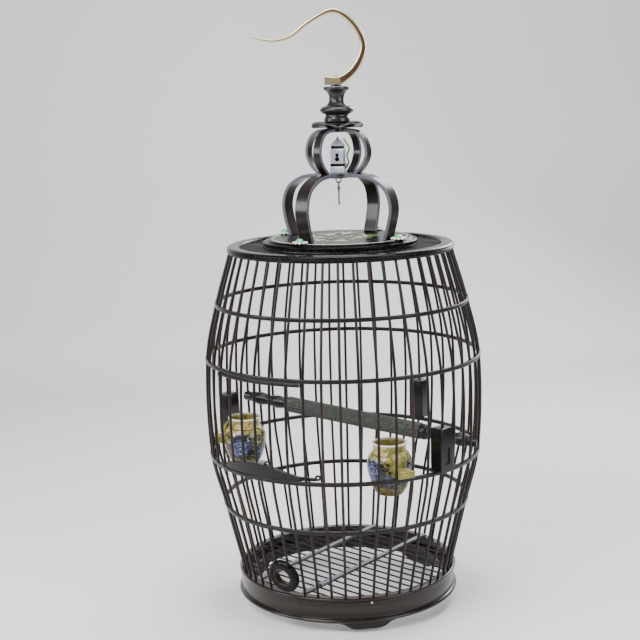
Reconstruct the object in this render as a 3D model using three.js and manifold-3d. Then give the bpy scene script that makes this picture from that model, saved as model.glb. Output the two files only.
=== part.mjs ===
// A barrel-shaped hanging birdcage of dark hardwood: a footed base ring, fifty curved bars threaded
// through four hoops, a swing-in door, a ring-and-board top, and a two-tier crown with a turned finial
// and a swivelling brass hook. Two glazed cups, a sanded perch and three stop blocks are inside.
// Millimetres, +Z up. The origin is the middle of the cage on the surface that the feet stand on.
import * as THREE from "three";
import { mergeVertices } from "three/addons/utils/BufferGeometryUtils.js";
import Module from "manifold-3d";

const wasm = await Module();
wasm.setup();

// Clearances
const SEAT_GAP = 0.3; // between pieces that rest on or butt against each other
const RUNNING_GAP = 0.5; // between pieces that turn or slide on each other

// Base
const FOOT_HEIGHT = 9;
const BASE_HEIGHT = 31;
const BASE_WALL = 10;
const BEAD = 2.2; // how far the base ring's rolled beads stand out
const GROOVE_DEPTH = 1.6;
const FOOT_DROP_RADIUS = 1.5;
const FOOT_DROP_OFFSET = 6;
const BASE_PIN_PLACE = -79.2;
const BASE_PIN_RADIUS = 1.5;
const FOOT_COUNT = 3;
const FOOT_LENGTH = 68;
const FOOT_THICKNESS = 8;
const FIRST_FOOT = -81; // degrees, from +X towards +Y, as every angle here

// Barrel: heights are above the base ring, radii are of the bars' centre line
const BAR_COUNT = 50;
const BAR_RADIUS = 1.7;
const BAR_PHASE = 1.3;
const HOOP_HEIGHT = 4.8;
const HOOP_WIDTH = 4.8;
const BARREL_RISE = 402.5;
const LOW_HOOP_RISE = 0.2152 * BARREL_RISE;
const SILL_HOOP_RISE = 0.3742 * BARREL_RISE;
const LINTEL_HOOP_RISE = 0.6753 * BARREL_RISE;
const HIGH_HOOP_RISE = 0.8445 * BARREL_RISE;
const BELLY_RADIUS = 170.2;
const LOW_HOOP_RADIUS = 0.903 * BELLY_RADIUS;
const SILL_HOOP_RADIUS = 0.992 * BELLY_RADIUS;
const LINTEL_HOOP_RADIUS = BELLY_RADIUS;
const HIGH_HOOP_RADIUS = 0.9166 * BELLY_RADIUS;
const SHOULDER_RADIUS = 0.809 * BELLY_RADIUS;
const BASE_RADIUS = 0.811 * BELLY_RADIUS;
const FOOT_RING_RADIUS = BASE_RADIUS - BASE_WALL / 2 + 0.3;

// Top
const TOP_RING_RADIUS = SHOULDER_RADIUS + 3.6;
const TOP_RING_WIDTH = 16;
const TOP_RING_HEIGHT = 9;
const SPOKE_RADIUS = 1.4;
const COLLAR_WIDTH = 7;
const COLLAR_HEIGHT = 5;
const BOARD_RADIUS = TOP_RING_RADIUS - 45.8;
const BOARD_THICKNESS = 8;

// Crown
const STRIP_COUNT = 4;
const FIRST_STRIP = -35;
const CLAW_WIDTH = 18;
const CLAW_THICKNESS = 4.5;
const CLAW_RISE = 78;
const CLAW_FOOT_RADIUS = BOARD_RADIUS - 25.5;
const CLAW_SHOULDER_RADIUS = CLAW_FOOT_RADIUS + 10;
const HUB_RADIUS = 13;
const HUB_HEIGHT = 6;
const STAPLE_DROP = 5.5;
const STAPLE_WIRE = 0.8;
const EYE_WIRE = 0.8;
const PENDANT_LENGTH = 25;
const LANTERN_WIDTH = 10.5;
const LANTERN_THICKNESS = 4;
const LANTERN_RISE = 55;
const LANTERN_FOOT_RADIUS = 27;
const LANTERN_BELLY_RADIUS = 44;
const LANTERN_TOP_RADIUS = 12;
const ORNAMENT_HALF = 8.2;
const ORNAMENT_TURN = -11;
const HANDLE_WIRE = 1.1;
const LEAF_RADIUS = 34.5;
const LEAF_LOBES = 4;
const LEAF_WAVE = 6; // how high the rim rises in the middle of a lobe
const LEAF_NOTCH = 4; // how far the rim falls back between two lobes
const LEAF_THICKNESS = 1.6;
const ROSETTE_RADIUS = 9.7;
const ROSETTE_SCALLOP = 1.5;
const ROSETTE_PETALS = 8;
const ROSETTE_THICKNESS = 1.8;
const JADE_RADIUS = 5.6;
const JADE_HEIGHT = 4.8;
const FINIAL_HEIGHT = 48;
const FINIAL_NECK = 9;
const FINIAL_BULGE = 20.9;
const FINIAL_FLANGE = 16;
const PIN_RADIUS = 2.2;
const PIN_DEPTH = 18;

// Hook
const HOOK_RISE = 83;
const HOOK_REACH = 101.7;
const HOOK_ROOT_HEIGHT = 10;
const HOOK_ROOT_WIDTH = 8;
const HOOK_TIP_SIZE = 1.6;
const WASHER_HEIGHT = 1.4;
const WASHER_RADIUS = 7;
const RIVET_HEIGHT = 0.6;

// Door: five bars between the sill and lintel hoops, hung on the bar to their left
const DOOR_HINGE_BAR = 29;
const DOOR_BARS = 5;
const DOOR_RAIL_WIDTH = 4.2;
const DOOR_HUMP = 16.2;
const DOOR_RAIL_LOW = 3.2;
const DOOR_SKEW = 1.73; // above 1 the hump's crown stands away from the hinge
const DOOR_WAIST = 1.3; // above 1 the hump's flanks are hollow
const DOOR_FLARE = 2.8; // how much wider the hump is at its crown, on its inner side
const DOOR_TOP_RAIL = 4;
const DOOR_TAB_SHARE = 0.54; // of the way from the hinge bar to the closing bar
const DOOR_TAB_LENGTH = 10;
const DOOR_TAB_DEPTH = 9;
const DOOR_TAB_HEIGHT = 3;
const CURL_RADIUS = 2.4;
const CURL_WIRE = 1.3;
const EYE_RADIUS = 4.4;
const EYE_HEIGHT = 4;

// Fittings
const BLOCK_BARS = [43, 7, 21];
const BLOCK_WIDTH = 18;
const BLOCK_DEPTH = 13;
const BLOCK_HEIGHT = 52.5;
const BLOCK_CHAMFER = 1.5;
const RECESS_WIDTH = 7;
const RECESS_DEPTH = 1.5;
const RECESS_HEIGHT = 20;
const PERCH_LEFT_BAR = 19;
const PERCH_RIGHT_BAR = 47;
const PERCH_LEFT_RISE = 193;
const PERCH_RIGHT_RISE = 167;
const PERCH_RADIUS = 8;
const PERCH_NECK = 4.8;
const PERCH_PAST = 3.5; // how far the forked ends reach past the bars that they straddle
const SLEEVE_RADIUS = 10.4;
const SLEEVE_WALL = 3;
const SLEEVE_START = 67;
const SLEEVE_END = 77;
const CUP_RADIUS = 27.3;
const CUP_HEIGHT = 62.8;
const CUP_WALL = 3;
const CUP_MOUTH = 20.8;
const CUP_DROP = 28.5; // how far the foot hangs below the sill hoop's top
const CUP_STAND_OFF = 9.8; // between the jar and the bars
const EAR_HEIGHT = 9;
const FLANGE_THICKNESS = 3;
const CUP_LIFT = 15;
const RIGHT_CUP_GAP = 40.5; // bar number, half way between two bars
const LEFT_CUP_GAP = 23.5;
const PORT_BAR = 32.49; // bar number, between two bars
const PORT_RADIUS = 19;
const PORT_HOLE = 9.8;
const PORT_DEPTH = 9;
const PORT_ROUNDING = 1.2;

// Floor grille
const WIRE_RADIUS = 1.1;
const WIRE_PITCH = 13.5;
const FLOOR_RADIUS = BASE_RADIUS - BASE_WALL - 2;
const FLOOR_TURN = 40;
const BATTEN_WIDTH = 5;
const BATTEN_HEIGHT = 4;
const BATTEN_OFFSET = 42;
const LEDGE_DROP = 12;
const LEDGE_WIDTH = 7;
const TAB_LENGTH = 12;
const TAB_WIDTH = 10;
const TAB_HEIGHT = 5;
const TAB_PLACE = -68;

// Heights that follow from the sizes above
const BASE_TOP = FOOT_HEIGHT + BASE_HEIGHT;
const LOW_HOOP = BASE_TOP + LOW_HOOP_RISE;
const SILL_HOOP = BASE_TOP + SILL_HOOP_RISE;
const LINTEL_HOOP = BASE_TOP + LINTEL_HOOP_RISE;
const HIGH_HOOP = BASE_TOP + HIGH_HOOP_RISE;
const BARREL_TOP = BASE_TOP + BARREL_RISE;
const BELLY = (SILL_HOOP + LINTEL_HOOP) / 2;
const TOP_RING_TOP = BARREL_TOP + TOP_RING_HEIGHT;
const COLLAR_TOP = TOP_RING_TOP - 1.5;
const BOARD_BOTTOM = COLLAR_TOP + SEAT_GAP;
const BOARD_TOP = BOARD_BOTTOM + BOARD_THICKNESS;
const CLAW_TOP = BOARD_TOP + SEAT_GAP + CLAW_RISE;
const LANTERN_BOTTOM = CLAW_TOP + SEAT_GAP;
const LANTERN_TOP = LANTERN_BOTTOM + LANTERN_RISE;
const LEAF_BOTTOM = LANTERN_TOP + SEAT_GAP;
const FINIAL_BOTTOM = LEAF_BOTTOM + LEAF_THICKNESS + SEAT_GAP;
const FINIAL_TOP = FINIAL_BOTTOM + FINIAL_HEIGHT;
const WASHER_BOTTOM = FINIAL_TOP + SEAT_GAP;
const HOOK_BOTTOM = WASHER_BOTTOM + WASHER_HEIGHT + SEAT_GAP;
const SILL_TOP = SILL_HOOP + HOOP_HEIGHT / 2;
const LINTEL_UNDERSIDE = LINTEL_HOOP - HOOP_HEIGHT / 2;

const wood = { color: 0x1d1412, roughness: 0.38, metalness: 0 };
const barWood = { color: 0x3a2622, roughness: 0.45, metalness: 0 };
const lacquer = { color: 0x0d0b0c, roughness: 0.18, metalness: 0 };
const rosewood = { color: 0x2a1c1b, roughness: 0.32, metalness: 0 };
const brass = { color: 0xa5834f, roughness: 0.4, metalness: 0.9 };
const silver = { color: 0xb9c0c4, roughness: 0.35, metalness: 0.8 };
const ceramic = { color: 0xd9cf9e, roughness: 0.2, metalness: 0 };
const grit = { color: 0x4c4f4c, roughness: 0.95, metalness: 0 };
const pearl = { color: 0xe8e8e0, roughness: 0.25, metalness: 0 };
const jade = { color: 0x2f9a55, roughness: 0.2, metalness: 0 };
const steel = { color: 0x6b6764, roughness: 0.45, metalness: 0.6 };
const darkSteel = { color: 0x38332f, roughness: 0.5, metalness: 0.8 };
const greyWood = { color: 0x6d6264, roughness: 0.6, metalness: 0 };

const cage = new THREE.Group();

// Angles and places

const radians = (degrees) => (degrees * Math.PI) / 180;
const barAngle = (number) => radians(BAR_PHASE + (360 / BAR_COUNT) * number);

function around(radius, angle, z) {
  return new THREE.Vector3(radius * Math.cos(angle), radius * Math.sin(angle), z);
}

// The barrel's outline: a smooth curve through the radius at each hoop, as radius against height.
function barrelRadius(z) {
  const stations = [
    [BASE_TOP, FOOT_RING_RADIUS],
    [LOW_HOOP, LOW_HOOP_RADIUS],
    [SILL_HOOP, SILL_HOOP_RADIUS],
    [LINTEL_HOOP, LINTEL_HOOP_RADIUS],
    [HIGH_HOOP, HIGH_HOOP_RADIUS],
    [BARREL_TOP, SHOULDER_RADIUS],
  ];
  const slope = (i) => {
    const low = stations[Math.max(i - 1, 0)];
    const high = stations[Math.min(i + 1, stations.length - 1)];
    return (high[1] - low[1]) / (high[0] - low[0]);
  };
  let i = 0;
  while (i < stations.length - 2 && z > stations[i + 1][0]) i += 1;
  const [z0, r0] = stations[i];
  const [z1, r1] = stations[i + 1];
  const span = z1 - z0;
  const t = (z - z0) / span;
  const ease = t * t * (3 - 2 * t);
  const start = t * (1 - t) * (1 - t) * span * slope(i);
  const end = -t * t * (1 - t) * span * slope(i + 1);
  return r0 + (r1 - r0) * ease + start + end;
}

// The bars are straight between these heights, so what is fitted to a bar follows the same chords.
const bends = () => [BASE_TOP, LOW_HOOP, SILL_HOOP, BELLY, LINTEL_HOOP, HIGH_HOOP, BARREL_TOP];

function barReach(z) {
  const heights = bends();
  let i = 0;
  while (i < heights.length - 2 && z > heights[i + 1]) i += 1;
  const t = (z - heights[i]) / (heights[i + 1] - heights[i]);
  return barrelRadius(heights[i]) * (1 - t) + barrelRadius(heights[i + 1]) * t;
}

// Closed geometry

// Position-only, welded copy of a geometry with its faces pointing out.
function welded(geometry) {
  const plain = geometry.clone();
  for (const name of Object.keys(plain.attributes)) {
    if (name !== "position") plain.deleteAttribute(name);
  }
  const merged = mergeVertices(plain, 1e-3);
  const place = merged.getAttribute("position");
  const index = merged.getIndex().array;
  const kept = [];
  let volume = 0;
  const a = new THREE.Vector3();
  const b = new THREE.Vector3();
  const c = new THREE.Vector3();
  for (let i = 0; i < index.length; i += 3) {
    const [p, q, r] = [index[i], index[i + 1], index[i + 2]];
    if (p === q || q === r || r === p) continue;
    a.fromBufferAttribute(place, p);
    b.fromBufferAttribute(place, q);
    c.fromBufferAttribute(place, r);
    volume += a.dot(b.cross(c));
    kept.push(p, q, r);
  }
  if (volume < 0) kept.reverse();
  merged.setIndex(kept);
  return merged;
}

function solid(geometry) {
  const plain = welded(geometry);
  const vertProperties = new Float32Array(plain.getAttribute("position").array);
  const triVerts = new Uint32Array(plain.getIndex().array);
  const mesh = new wasm.Mesh({ numProp: 3, vertProperties, triVerts });
  return new wasm.Manifold(mesh);
}

function geometryOf(manifold) {
  const mesh = manifold.getMesh();
  const geometry = new THREE.BufferGeometry();
  geometry.setAttribute("position", new THREE.BufferAttribute(mesh.vertProperties, 3));
  geometry.setIndex(new THREE.BufferAttribute(mesh.triVerts, 1));
  return geometry;
}

function joined(geometries) {
  return geometryOf(wasm.Manifold.union(geometries.map(solid)));
}

function cut(geometry, tools) {
  return geometryOf(solid(geometry).subtract(wasm.Manifold.union(tools.map(solid))));
}

// What is left of a geometry between two heights.
function between(geometry, low, high) {
  const span = 4 * BASE_RADIUS;
  const slab = box(span, span, high - low).translate(0, 0, (low + high) / 2);
  return geometryOf(solid(geometry).intersect(solid(slab)));
}

function add(name, geometry, finish) {
  const shown = welded(geometry).toNonIndexed();
  shown.computeVertexNormals();
  const mesh = new THREE.Mesh(shown, new THREE.MeshStandardMaterial(finish));
  mesh.name = name;
  cage.add(mesh);
  return mesh;
}

// A revolved body about +Z. The outline is a list of [radius, height] pairs.
function turned(outline, segments) {
  const points = outline.map(([radius, height]) => new THREE.Vector2(radius, height));
  return new THREE.LatheGeometry(points, segments).rotateX(Math.PI / 2);
}

function ring(inner, outer, bottom, top, segments) {
  const outline = [
    [inner, bottom],
    [outer, bottom],
    [outer, top],
    [inner, top],
    [inner, bottom],
  ];
  return turned(outline, segments);
}

// A skin over a list of sections, each a list of points in the same order, capped at both ends.
function lofted(sections, endless = false) {
  const sides = sections[0].length;
  const position = sections.flat().flatMap((point) => point.toArray());
  const index = [];
  const last = endless ? sections.length : sections.length - 1;
  for (let i = 0; i < last; i += 1) {
    const near = i * sides;
    const far = ((i + 1) % sections.length) * sides;
    for (let j = 0; j < sides; j += 1) {
      const next = (j + 1) % sides;
      index.push(near + j, near + next, far + next);
      index.push(near + j, far + next, far + j);
    }
  }
  if (!endless) {
    const end = (sections.length - 1) * sides;
    for (let j = 1; j < sides - 1; j += 1) {
      index.push(0, j + 1, j);
      index.push(end, end + j, end + j + 1);
    }
  }
  const geometry = new THREE.BufferGeometry();
  geometry.setAttribute("position", new THREE.Float32BufferAttribute(position, 3));
  geometry.setIndex(index);
  return geometry;
}

// A body that follows an arc round the axis. The section at each angle is [radius, height] pairs.
function bent(from, to, steps, section) {
  const sections = [];
  for (let i = 0; i <= steps; i += 1) {
    const t = i / steps;
    const angle = from + (to - from) * t;
    sections.push(section(t, angle).map(([radius, height]) => around(radius, angle, height)));
  }
  return lofted(sections);
}

function box(width, depth, height) {
  return new THREE.BoxGeometry(width, depth, height);
}

function rod(points, radius, sides, steps) {
  const outline = new THREE.Shape();
  for (let i = 0; i < sides; i += 1) {
    const angle = (i / sides) * 2 * Math.PI;
    outline[i ? "lineTo" : "moveTo"](radius * Math.cos(angle), radius * Math.sin(angle));
  }
  const extrudePath = new THREE.CatmullRomCurve3(points);
  return new THREE.ExtrudeGeometry(outline, { steps, bevelEnabled: false, extrudePath });
}

// A flat strip bent in the plane through the axis at one angle: [radius, height] pairs along its middle.
function strip(path, angle, width, thickness, steps) {
  const curve = new THREE.SplineCurve(path.map(([r, z]) => new THREE.Vector2(r, z)));
  const across = new THREE.Vector3(-Math.sin(angle), Math.cos(angle), 0).multiplyScalar(width / 2);
  const sections = curve.getSpacedPoints(steps).map((point, i) => {
    const tangent = curve.getTangentAt(i / steps);
    const side = new THREE.Vector2(-tangent.y, tangent.x).multiplyScalar(thickness / 2);
    const inner = around(point.x + side.x, angle, point.y + side.y);
    const outer = around(point.x - side.x, angle, point.y - side.y);
    return [
      inner.clone().add(across),
      inner.clone().sub(across),
      outer.clone().sub(across),
      outer.clone().add(across),
    ];
  });
  return lofted(sections);
}

// Base ring: an upright band between two rolled beads, with an inner ledge for the floor grille.
function makeBase() {
  const inner = BASE_RADIUS - BASE_WALL;
  const ledge = BASE_TOP - LEDGE_DROP;
  const groove = BASE_RADIUS - GROOVE_DEPTH;
  const outline = [
    [inner - LEDGE_WIDTH, ledge - 4],
    [inner, ledge - 7],
    [inner, FOOT_HEIGHT],
    [BASE_RADIUS + 0.6, FOOT_HEIGHT],
    [BASE_RADIUS + BEAD, FOOT_HEIGHT + BEAD],
    [BASE_RADIUS + 0.6, FOOT_HEIGHT + 2 * BEAD],
    [groove, FOOT_HEIGHT + 2 * BEAD + 1],
    [BASE_RADIUS - 0.6, (FOOT_HEIGHT + BASE_TOP) / 2],
    [groove, BASE_TOP - 2 * BEAD - 1],
    [BASE_RADIUS + 0.2, BASE_TOP - 2 * BEAD],
    [BASE_RADIUS + BEAD - 1, BASE_TOP - BEAD],
    [BASE_RADIUS - 0.4, BASE_TOP],
    [inner, BASE_TOP],
    [inner, ledge],
    [inner - LEDGE_WIDTH, ledge],
    [inner - LEDGE_WIDTH, ledge - 4],
  ];
  const hole = turned(pinStem(BASE_PIN_RADIUS / 2 + SEAT_GAP, 6), 8);
  add("base_ring", cut(turned(outline, 50), [placePin(hole)]), wood);
  add("base_pin", placePin(turned(pinStem(BASE_PIN_RADIUS / 2, 5, BASE_PIN_RADIUS), 8)), steel);
}

// The outline of a pin along its own axis, with its head's back at height 0, or of the hole for it.
function pinStem(radius, depth, head = 0) {
  const stem = [
    [0, -depth],
    [radius, -depth],
  ];
  if (!head) return [...stem, [radius, head + 2 * SEAT_GAP], [0, head + 2 * SEAT_GAP]];
  return [...stem, [radius, 0], [head, 0], [0.8 * head, 0.6 * head], [0, 0.8 * head]];
}

// Lays a pin along the radius through the base ring's front, just under the upper bead.
function placePin(geometry) {
  const place = around(BASE_RADIUS - GROOVE_DEPTH + 2 * SEAT_GAP, radians(BASE_PIN_PLACE), 0);
  geometry.rotateY(Math.PI / 2).rotateZ(radians(BASE_PIN_PLACE));
  return geometry.translate(place.x, place.y, BASE_TOP - 3 * BEAD);
}

// Bracket feet: a scalloped apron that follows the ring, pierced by two small drops.
function makeFeet() {
  const outer = BASE_RADIUS - 2;
  const half = FOOT_LENGTH / 2 / outer;
  for (let number = 0; number < FOOT_COUNT; number += 1) {
    const middle = radians(FIRST_FOOT + (360 / FOOT_COUNT) * number);
    const section = (t) => {
      const fromMiddle = Math.abs(2 * t - 1);
      const scallop = 0.5 * (1 - Math.cos(Math.PI * Math.min(1, (1 - fromMiddle) * 1.8)));
      const bottom = (FOOT_HEIGHT - 2.4) * (1 - scallop);
      return [
        [outer - FOOT_THICKNESS, bottom],
        [outer, bottom],
        [outer, FOOT_HEIGHT - SEAT_GAP],
        [outer - FOOT_THICKNESS, FOOT_HEIGHT - SEAT_GAP],
      ];
    };
    const apron = bent(middle - half, middle + half, 18, section);
    const drops = [-1, 1].map((side) => {
      const length = 3 * FOOT_THICKNESS;
      const drop = new THREE.CylinderGeometry(FOOT_DROP_RADIUS, FOOT_DROP_RADIUS, length, 6);
      const angle = middle + (side * FOOT_DROP_OFFSET) / outer;
      drop.rotateZ(angle - Math.PI / 2);
      const place = around(outer - FOOT_THICKNESS / 2, angle, FOOT_HEIGHT / 2);
      return drop.translate(place.x, place.y, place.z);
    });
    add(`foot_${number + 1}`, cut(apron, drops), wood);
  }
}

// One bar between two heights, bent at the heights where all of the bars bend.
function bar(number, from, to, radius = BAR_RADIUS) {
  const angle = barAngle(number);
  const heights = [from, ...bends().filter((z) => z > from + 1 && z < to - 1), to];
  const sides = 5;
  const sections = heights.map((z) => {
    const centre = around(barReach(z), angle, z);
    return Array.from({ length: sides }, (unused, i) => {
      const turn = angle + (i / sides) * 2 * Math.PI;
      return around(radius, turn, 0).add(centre);
    });
  });
  return lofted(sections);
}

function hoop(z) {
  const radius = barrelRadius(z);
  const sections = [];
  for (let i = 0; i < BAR_COUNT; i += 1) {
    const angle = barAngle(i + 0.5);
    const inner = radius - HOOP_WIDTH / 2;
    const outer = radius + HOOP_WIDTH / 2;
    const low = z - HOOP_HEIGHT / 2;
    const high = z + HOOP_HEIGHT / 2;
    sections.push([
      around(inner, angle, low),
      around(outer, angle, low),
      around(outer, angle, high),
      around(inner, angle, high),
    ]);
  }
  return lofted(sections, true);
}

const isDoorBar = (number) => number > DOOR_HINGE_BAR && number <= DOOR_HINGE_BAR + DOOR_BARS;

// The port ring leans with the wall above the base ring.
const portLean = () => Math.atan((barReach(LOW_HOOP) - FOOT_RING_RADIUS) / LOW_HOOP_RISE);

function portCentre() {
  const lean = portLean();
  const rise = PORT_RADIUS * Math.cos(lean) + (PORT_DEPTH / 2) * Math.sin(lean) + SEAT_GAP;
  return around(barReach(BASE_TOP + rise), barAngle(PORT_BAR), BASE_TOP + rise);
}

// Where a bar starts: on the base ring, or on top of the port ring where that stands in the way.
function barFoot(number) {
  const spacing = (2 * Math.PI * FOOT_RING_RADIUS) / BAR_COUNT;
  const away = Math.abs(number - PORT_BAR) * spacing - BAR_RADIUS;
  if (away > PORT_RADIUS) return BASE_TOP + SEAT_GAP;
  const up = Math.sqrt(PORT_RADIUS ** 2 - away ** 2) * Math.cos(portLean());
  return portCentre().z + up + BAR_RADIUS * Math.sin(portLean()) + SEAT_GAP;
}

// The wall: every bar and the four hoops that they are threaded through, with the doorway left open.
function makeWall() {
  const pieces = [LOW_HOOP, SILL_HOOP, LINTEL_HOOP, HIGH_HOOP].map(hoop);
  const top = BARREL_TOP - SEAT_GAP;
  for (let number = 0; number < BAR_COUNT; number += 1) {
    if (isDoorBar(number)) {
      pieces.push(bar(number, barFoot(number), SILL_HOOP));
      pieces.push(bar(number, LINTEL_HOOP, top));
    } else {
      pieces.push(bar(number, barFoot(number), top));
    }
  }
  add("bar_wall", joined(pieces), barWood);
}

// Port ring: a thick turned collar that stands on the base ring and carries the bars above it.
function makePort() {
  const outline = [
    [PORT_HOLE, -PORT_DEPTH / 2 + 1],
    [PORT_HOLE + 1, -PORT_DEPTH / 2],
    [PORT_RADIUS - PORT_ROUNDING, -PORT_DEPTH / 2],
    [PORT_RADIUS, -PORT_DEPTH / 2 + PORT_ROUNDING],
    [PORT_RADIUS, PORT_DEPTH / 2 - PORT_ROUNDING],
    [PORT_RADIUS - PORT_ROUNDING, PORT_DEPTH / 2],
    [PORT_HOLE + 1, PORT_DEPTH / 2],
    [PORT_HOLE, PORT_DEPTH / 2 - 1],
    [PORT_HOLE, -PORT_DEPTH / 2 + 1],
  ];
  const centre = portCentre();
  const collar = turned(outline, 24);
  collar.rotateY(Math.PI / 2 + portLean());
  collar.rotateZ(barAngle(PORT_BAR));
  collar.translate(centre.x, centre.y, centre.z);
  add("port_ring", collar, lacquer);
}

// Top ring, collar with spokes, and the lacquered board.
function makeTop() {
  const inner = TOP_RING_RADIUS - TOP_RING_WIDTH;
  const outline = [
    [inner, BARREL_TOP + 1.5],
    [inner + 1.5, BARREL_TOP],
    [TOP_RING_RADIUS - 2, BARREL_TOP],
    [TOP_RING_RADIUS, BARREL_TOP + 2.5],
    [TOP_RING_RADIUS, TOP_RING_TOP - 3],
    [TOP_RING_RADIUS - 2.5, TOP_RING_TOP - 0.6],
    [inner + 5, TOP_RING_TOP],
    [inner, TOP_RING_TOP - 2.5],
    [inner, BARREL_TOP + 1.5],
  ];
  add("top_ring", turned(outline, 50), lacquer);
  const collarOuter = BOARD_RADIUS - 1.5;
  const collarInner = collarOuter - COLLAR_WIDTH;
  const pieces = [ring(collarInner, collarOuter, COLLAR_TOP - COLLAR_HEIGHT, COLLAR_TOP, 50)];
  const spokeHeight = COLLAR_TOP - COLLAR_HEIGHT / 2;
  for (let number = 0; number < BAR_COUNT; number += 1) {
    const angle = barAngle(number);
    const from = collarOuter - COLLAR_WIDTH / 2;
    const spoke = box(inner - 2 * SEAT_GAP - from, 2 * SPOKE_RADIUS, 2 * SPOKE_RADIUS);
    spoke.translate((inner - 2 * SEAT_GAP + from) / 2, 0, spokeHeight);
    pieces.push(spoke.rotateZ(angle));
  }
  add("spoke_collar", joined(pieces), barWood);
  const board = [
    [0, BOARD_BOTTOM],
    [BOARD_RADIUS - 1, BOARD_BOTTOM],
    [BOARD_RADIUS, BOARD_BOTTOM + 1],
    [BOARD_RADIUS, BOARD_TOP - 3.5],
    [BOARD_RADIUS - 1.5, BOARD_TOP - 2.5],
    [BOARD_RADIUS - 5, BOARD_TOP - 2.5],
    [BOARD_RADIUS - 6.5, BOARD_TOP],
    [0, BOARD_TOP],
  ];
  add("top_board", turned(board, 50), lacquer);
}

const stripAngle = (number) => radians(FIRST_STRIP + (360 / STRIP_COUNT) * number);

// Four bent strips that rise from the board and meet at the hub.
function makeClaw() {
  const middle = CLAW_TOP - CLAW_THICKNESS / 2;
  const foot = BOARD_TOP + SEAT_GAP;
  const path = [
    [CLAW_FOOT_RADIUS, foot],
    [CLAW_FOOT_RADIUS + 6, foot + CLAW_RISE * 0.24],
    [CLAW_SHOULDER_RADIUS - 1, foot + CLAW_RISE * 0.5],
    [CLAW_SHOULDER_RADIUS * 0.9, foot + CLAW_RISE * 0.76],
    [CLAW_SHOULDER_RADIUS * 0.675, middle - 4],
    [CLAW_SHOULDER_RADIUS * 0.44, middle],
    [HUB_RADIUS + SEAT_GAP, middle],
  ];
  for (let number = 0; number < STRIP_COUNT; number += 1) {
    const body = strip(path, stripAngle(number), CLAW_WIDTH, CLAW_THICKNESS, 14);
    add(`claw_${number + 1}`, between(body, foot, CLAW_TOP), rosewood);
  }
  const bottom = CLAW_TOP - HUB_HEIGHT;
  const hub = [
    [0, bottom],
    [HUB_RADIUS - 3, bottom],
    [HUB_RADIUS - 1, bottom + 1],
    [HUB_RADIUS, bottom + 2.5],
    [HUB_RADIUS, CLAW_TOP],
    [0, CLAW_TOP],
  ];
  const staple = rod(
    [
      new THREE.Vector3(-3, 0, bottom + 1),
      new THREE.Vector3(-3, 0, bottom - 2.5),
      new THREE.Vector3(-1.8, 0, bottom - STAPLE_DROP + 0.4),
      new THREE.Vector3(0, 0, bottom - STAPLE_DROP),
      new THREE.Vector3(1.8, 0, bottom - STAPLE_DROP + 0.4),
      new THREE.Vector3(3, 0, bottom - 2.5),
      new THREE.Vector3(3, 0, bottom + 1),
    ],
    STAPLE_WIRE,
    6,
    12,
  );
  add("claw_hub", joined([turned(hub, 24), staple]), rosewood);
}

// The pin that hangs on the staple under the hub, by a small ring at its head.
function makePendant() {
  const pivot = CLAW_TOP - HUB_HEIGHT - STAPLE_DROP;
  const reach = STAPLE_WIRE + EYE_WIRE + SEAT_GAP;
  const loop = new THREE.TorusGeometry(reach, EYE_WIRE, 6, 12);
  loop.rotateY(Math.PI / 2);
  loop.translate(0, 0, pivot);
  const top = pivot - reach;
  const shaft = [
    [0, top],
    [1.1, top - 0.4],
    [1.1, top - 3],
    [2.3, top - 4.2],
    [2.3, top - 5.4],
    [1.2, top - 6.4],
    [1.2, top - PENDANT_LENGTH + 3],
    [1.9, top - PENDANT_LENGTH + 1.6],
    [0, top - PENDANT_LENGTH],
  ];
  add("hanging_pin", joined([loop, turned(shaft, 10)]), steel);
}

// The lantern: four narrower strips that stand on the claw and carry the leaf plate.
function makeLantern() {
  const path = [
    [LANTERN_FOOT_RADIUS, LANTERN_BOTTOM],
    [LANTERN_BELLY_RADIUS - 5.5, LANTERN_BOTTOM + LANTERN_RISE * 0.2],
    [LANTERN_BELLY_RADIUS, LANTERN_BOTTOM + LANTERN_RISE * 0.46],
    [LANTERN_BELLY_RADIUS - 4.5, LANTERN_BOTTOM + LANTERN_RISE * 0.74],
    [LANTERN_BELLY_RADIUS - 15, LANTERN_TOP - 5],
    [LANTERN_TOP_RADIUS, LANTERN_TOP - LANTERN_THICKNESS / 2],
  ];
  for (let number = 0; number < STRIP_COUNT; number += 1) {
    const body = strip(path, stripAngle(number), LANTERN_WIDTH, LANTERN_THICKNESS, 12);
    add(`lantern_${number + 1}`, between(body, LANTERN_BOTTOM, LANTERN_TOP), rosewood);
  }
  const inner = LANTERN_TOP_RADIUS - RUNNING_GAP - SEAT_GAP;
  const boss = ring(0.001, inner, LANTERN_TOP - 5, LANTERN_TOP, 20);
  add("lantern_cap", boss, rosewood);
}

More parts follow.
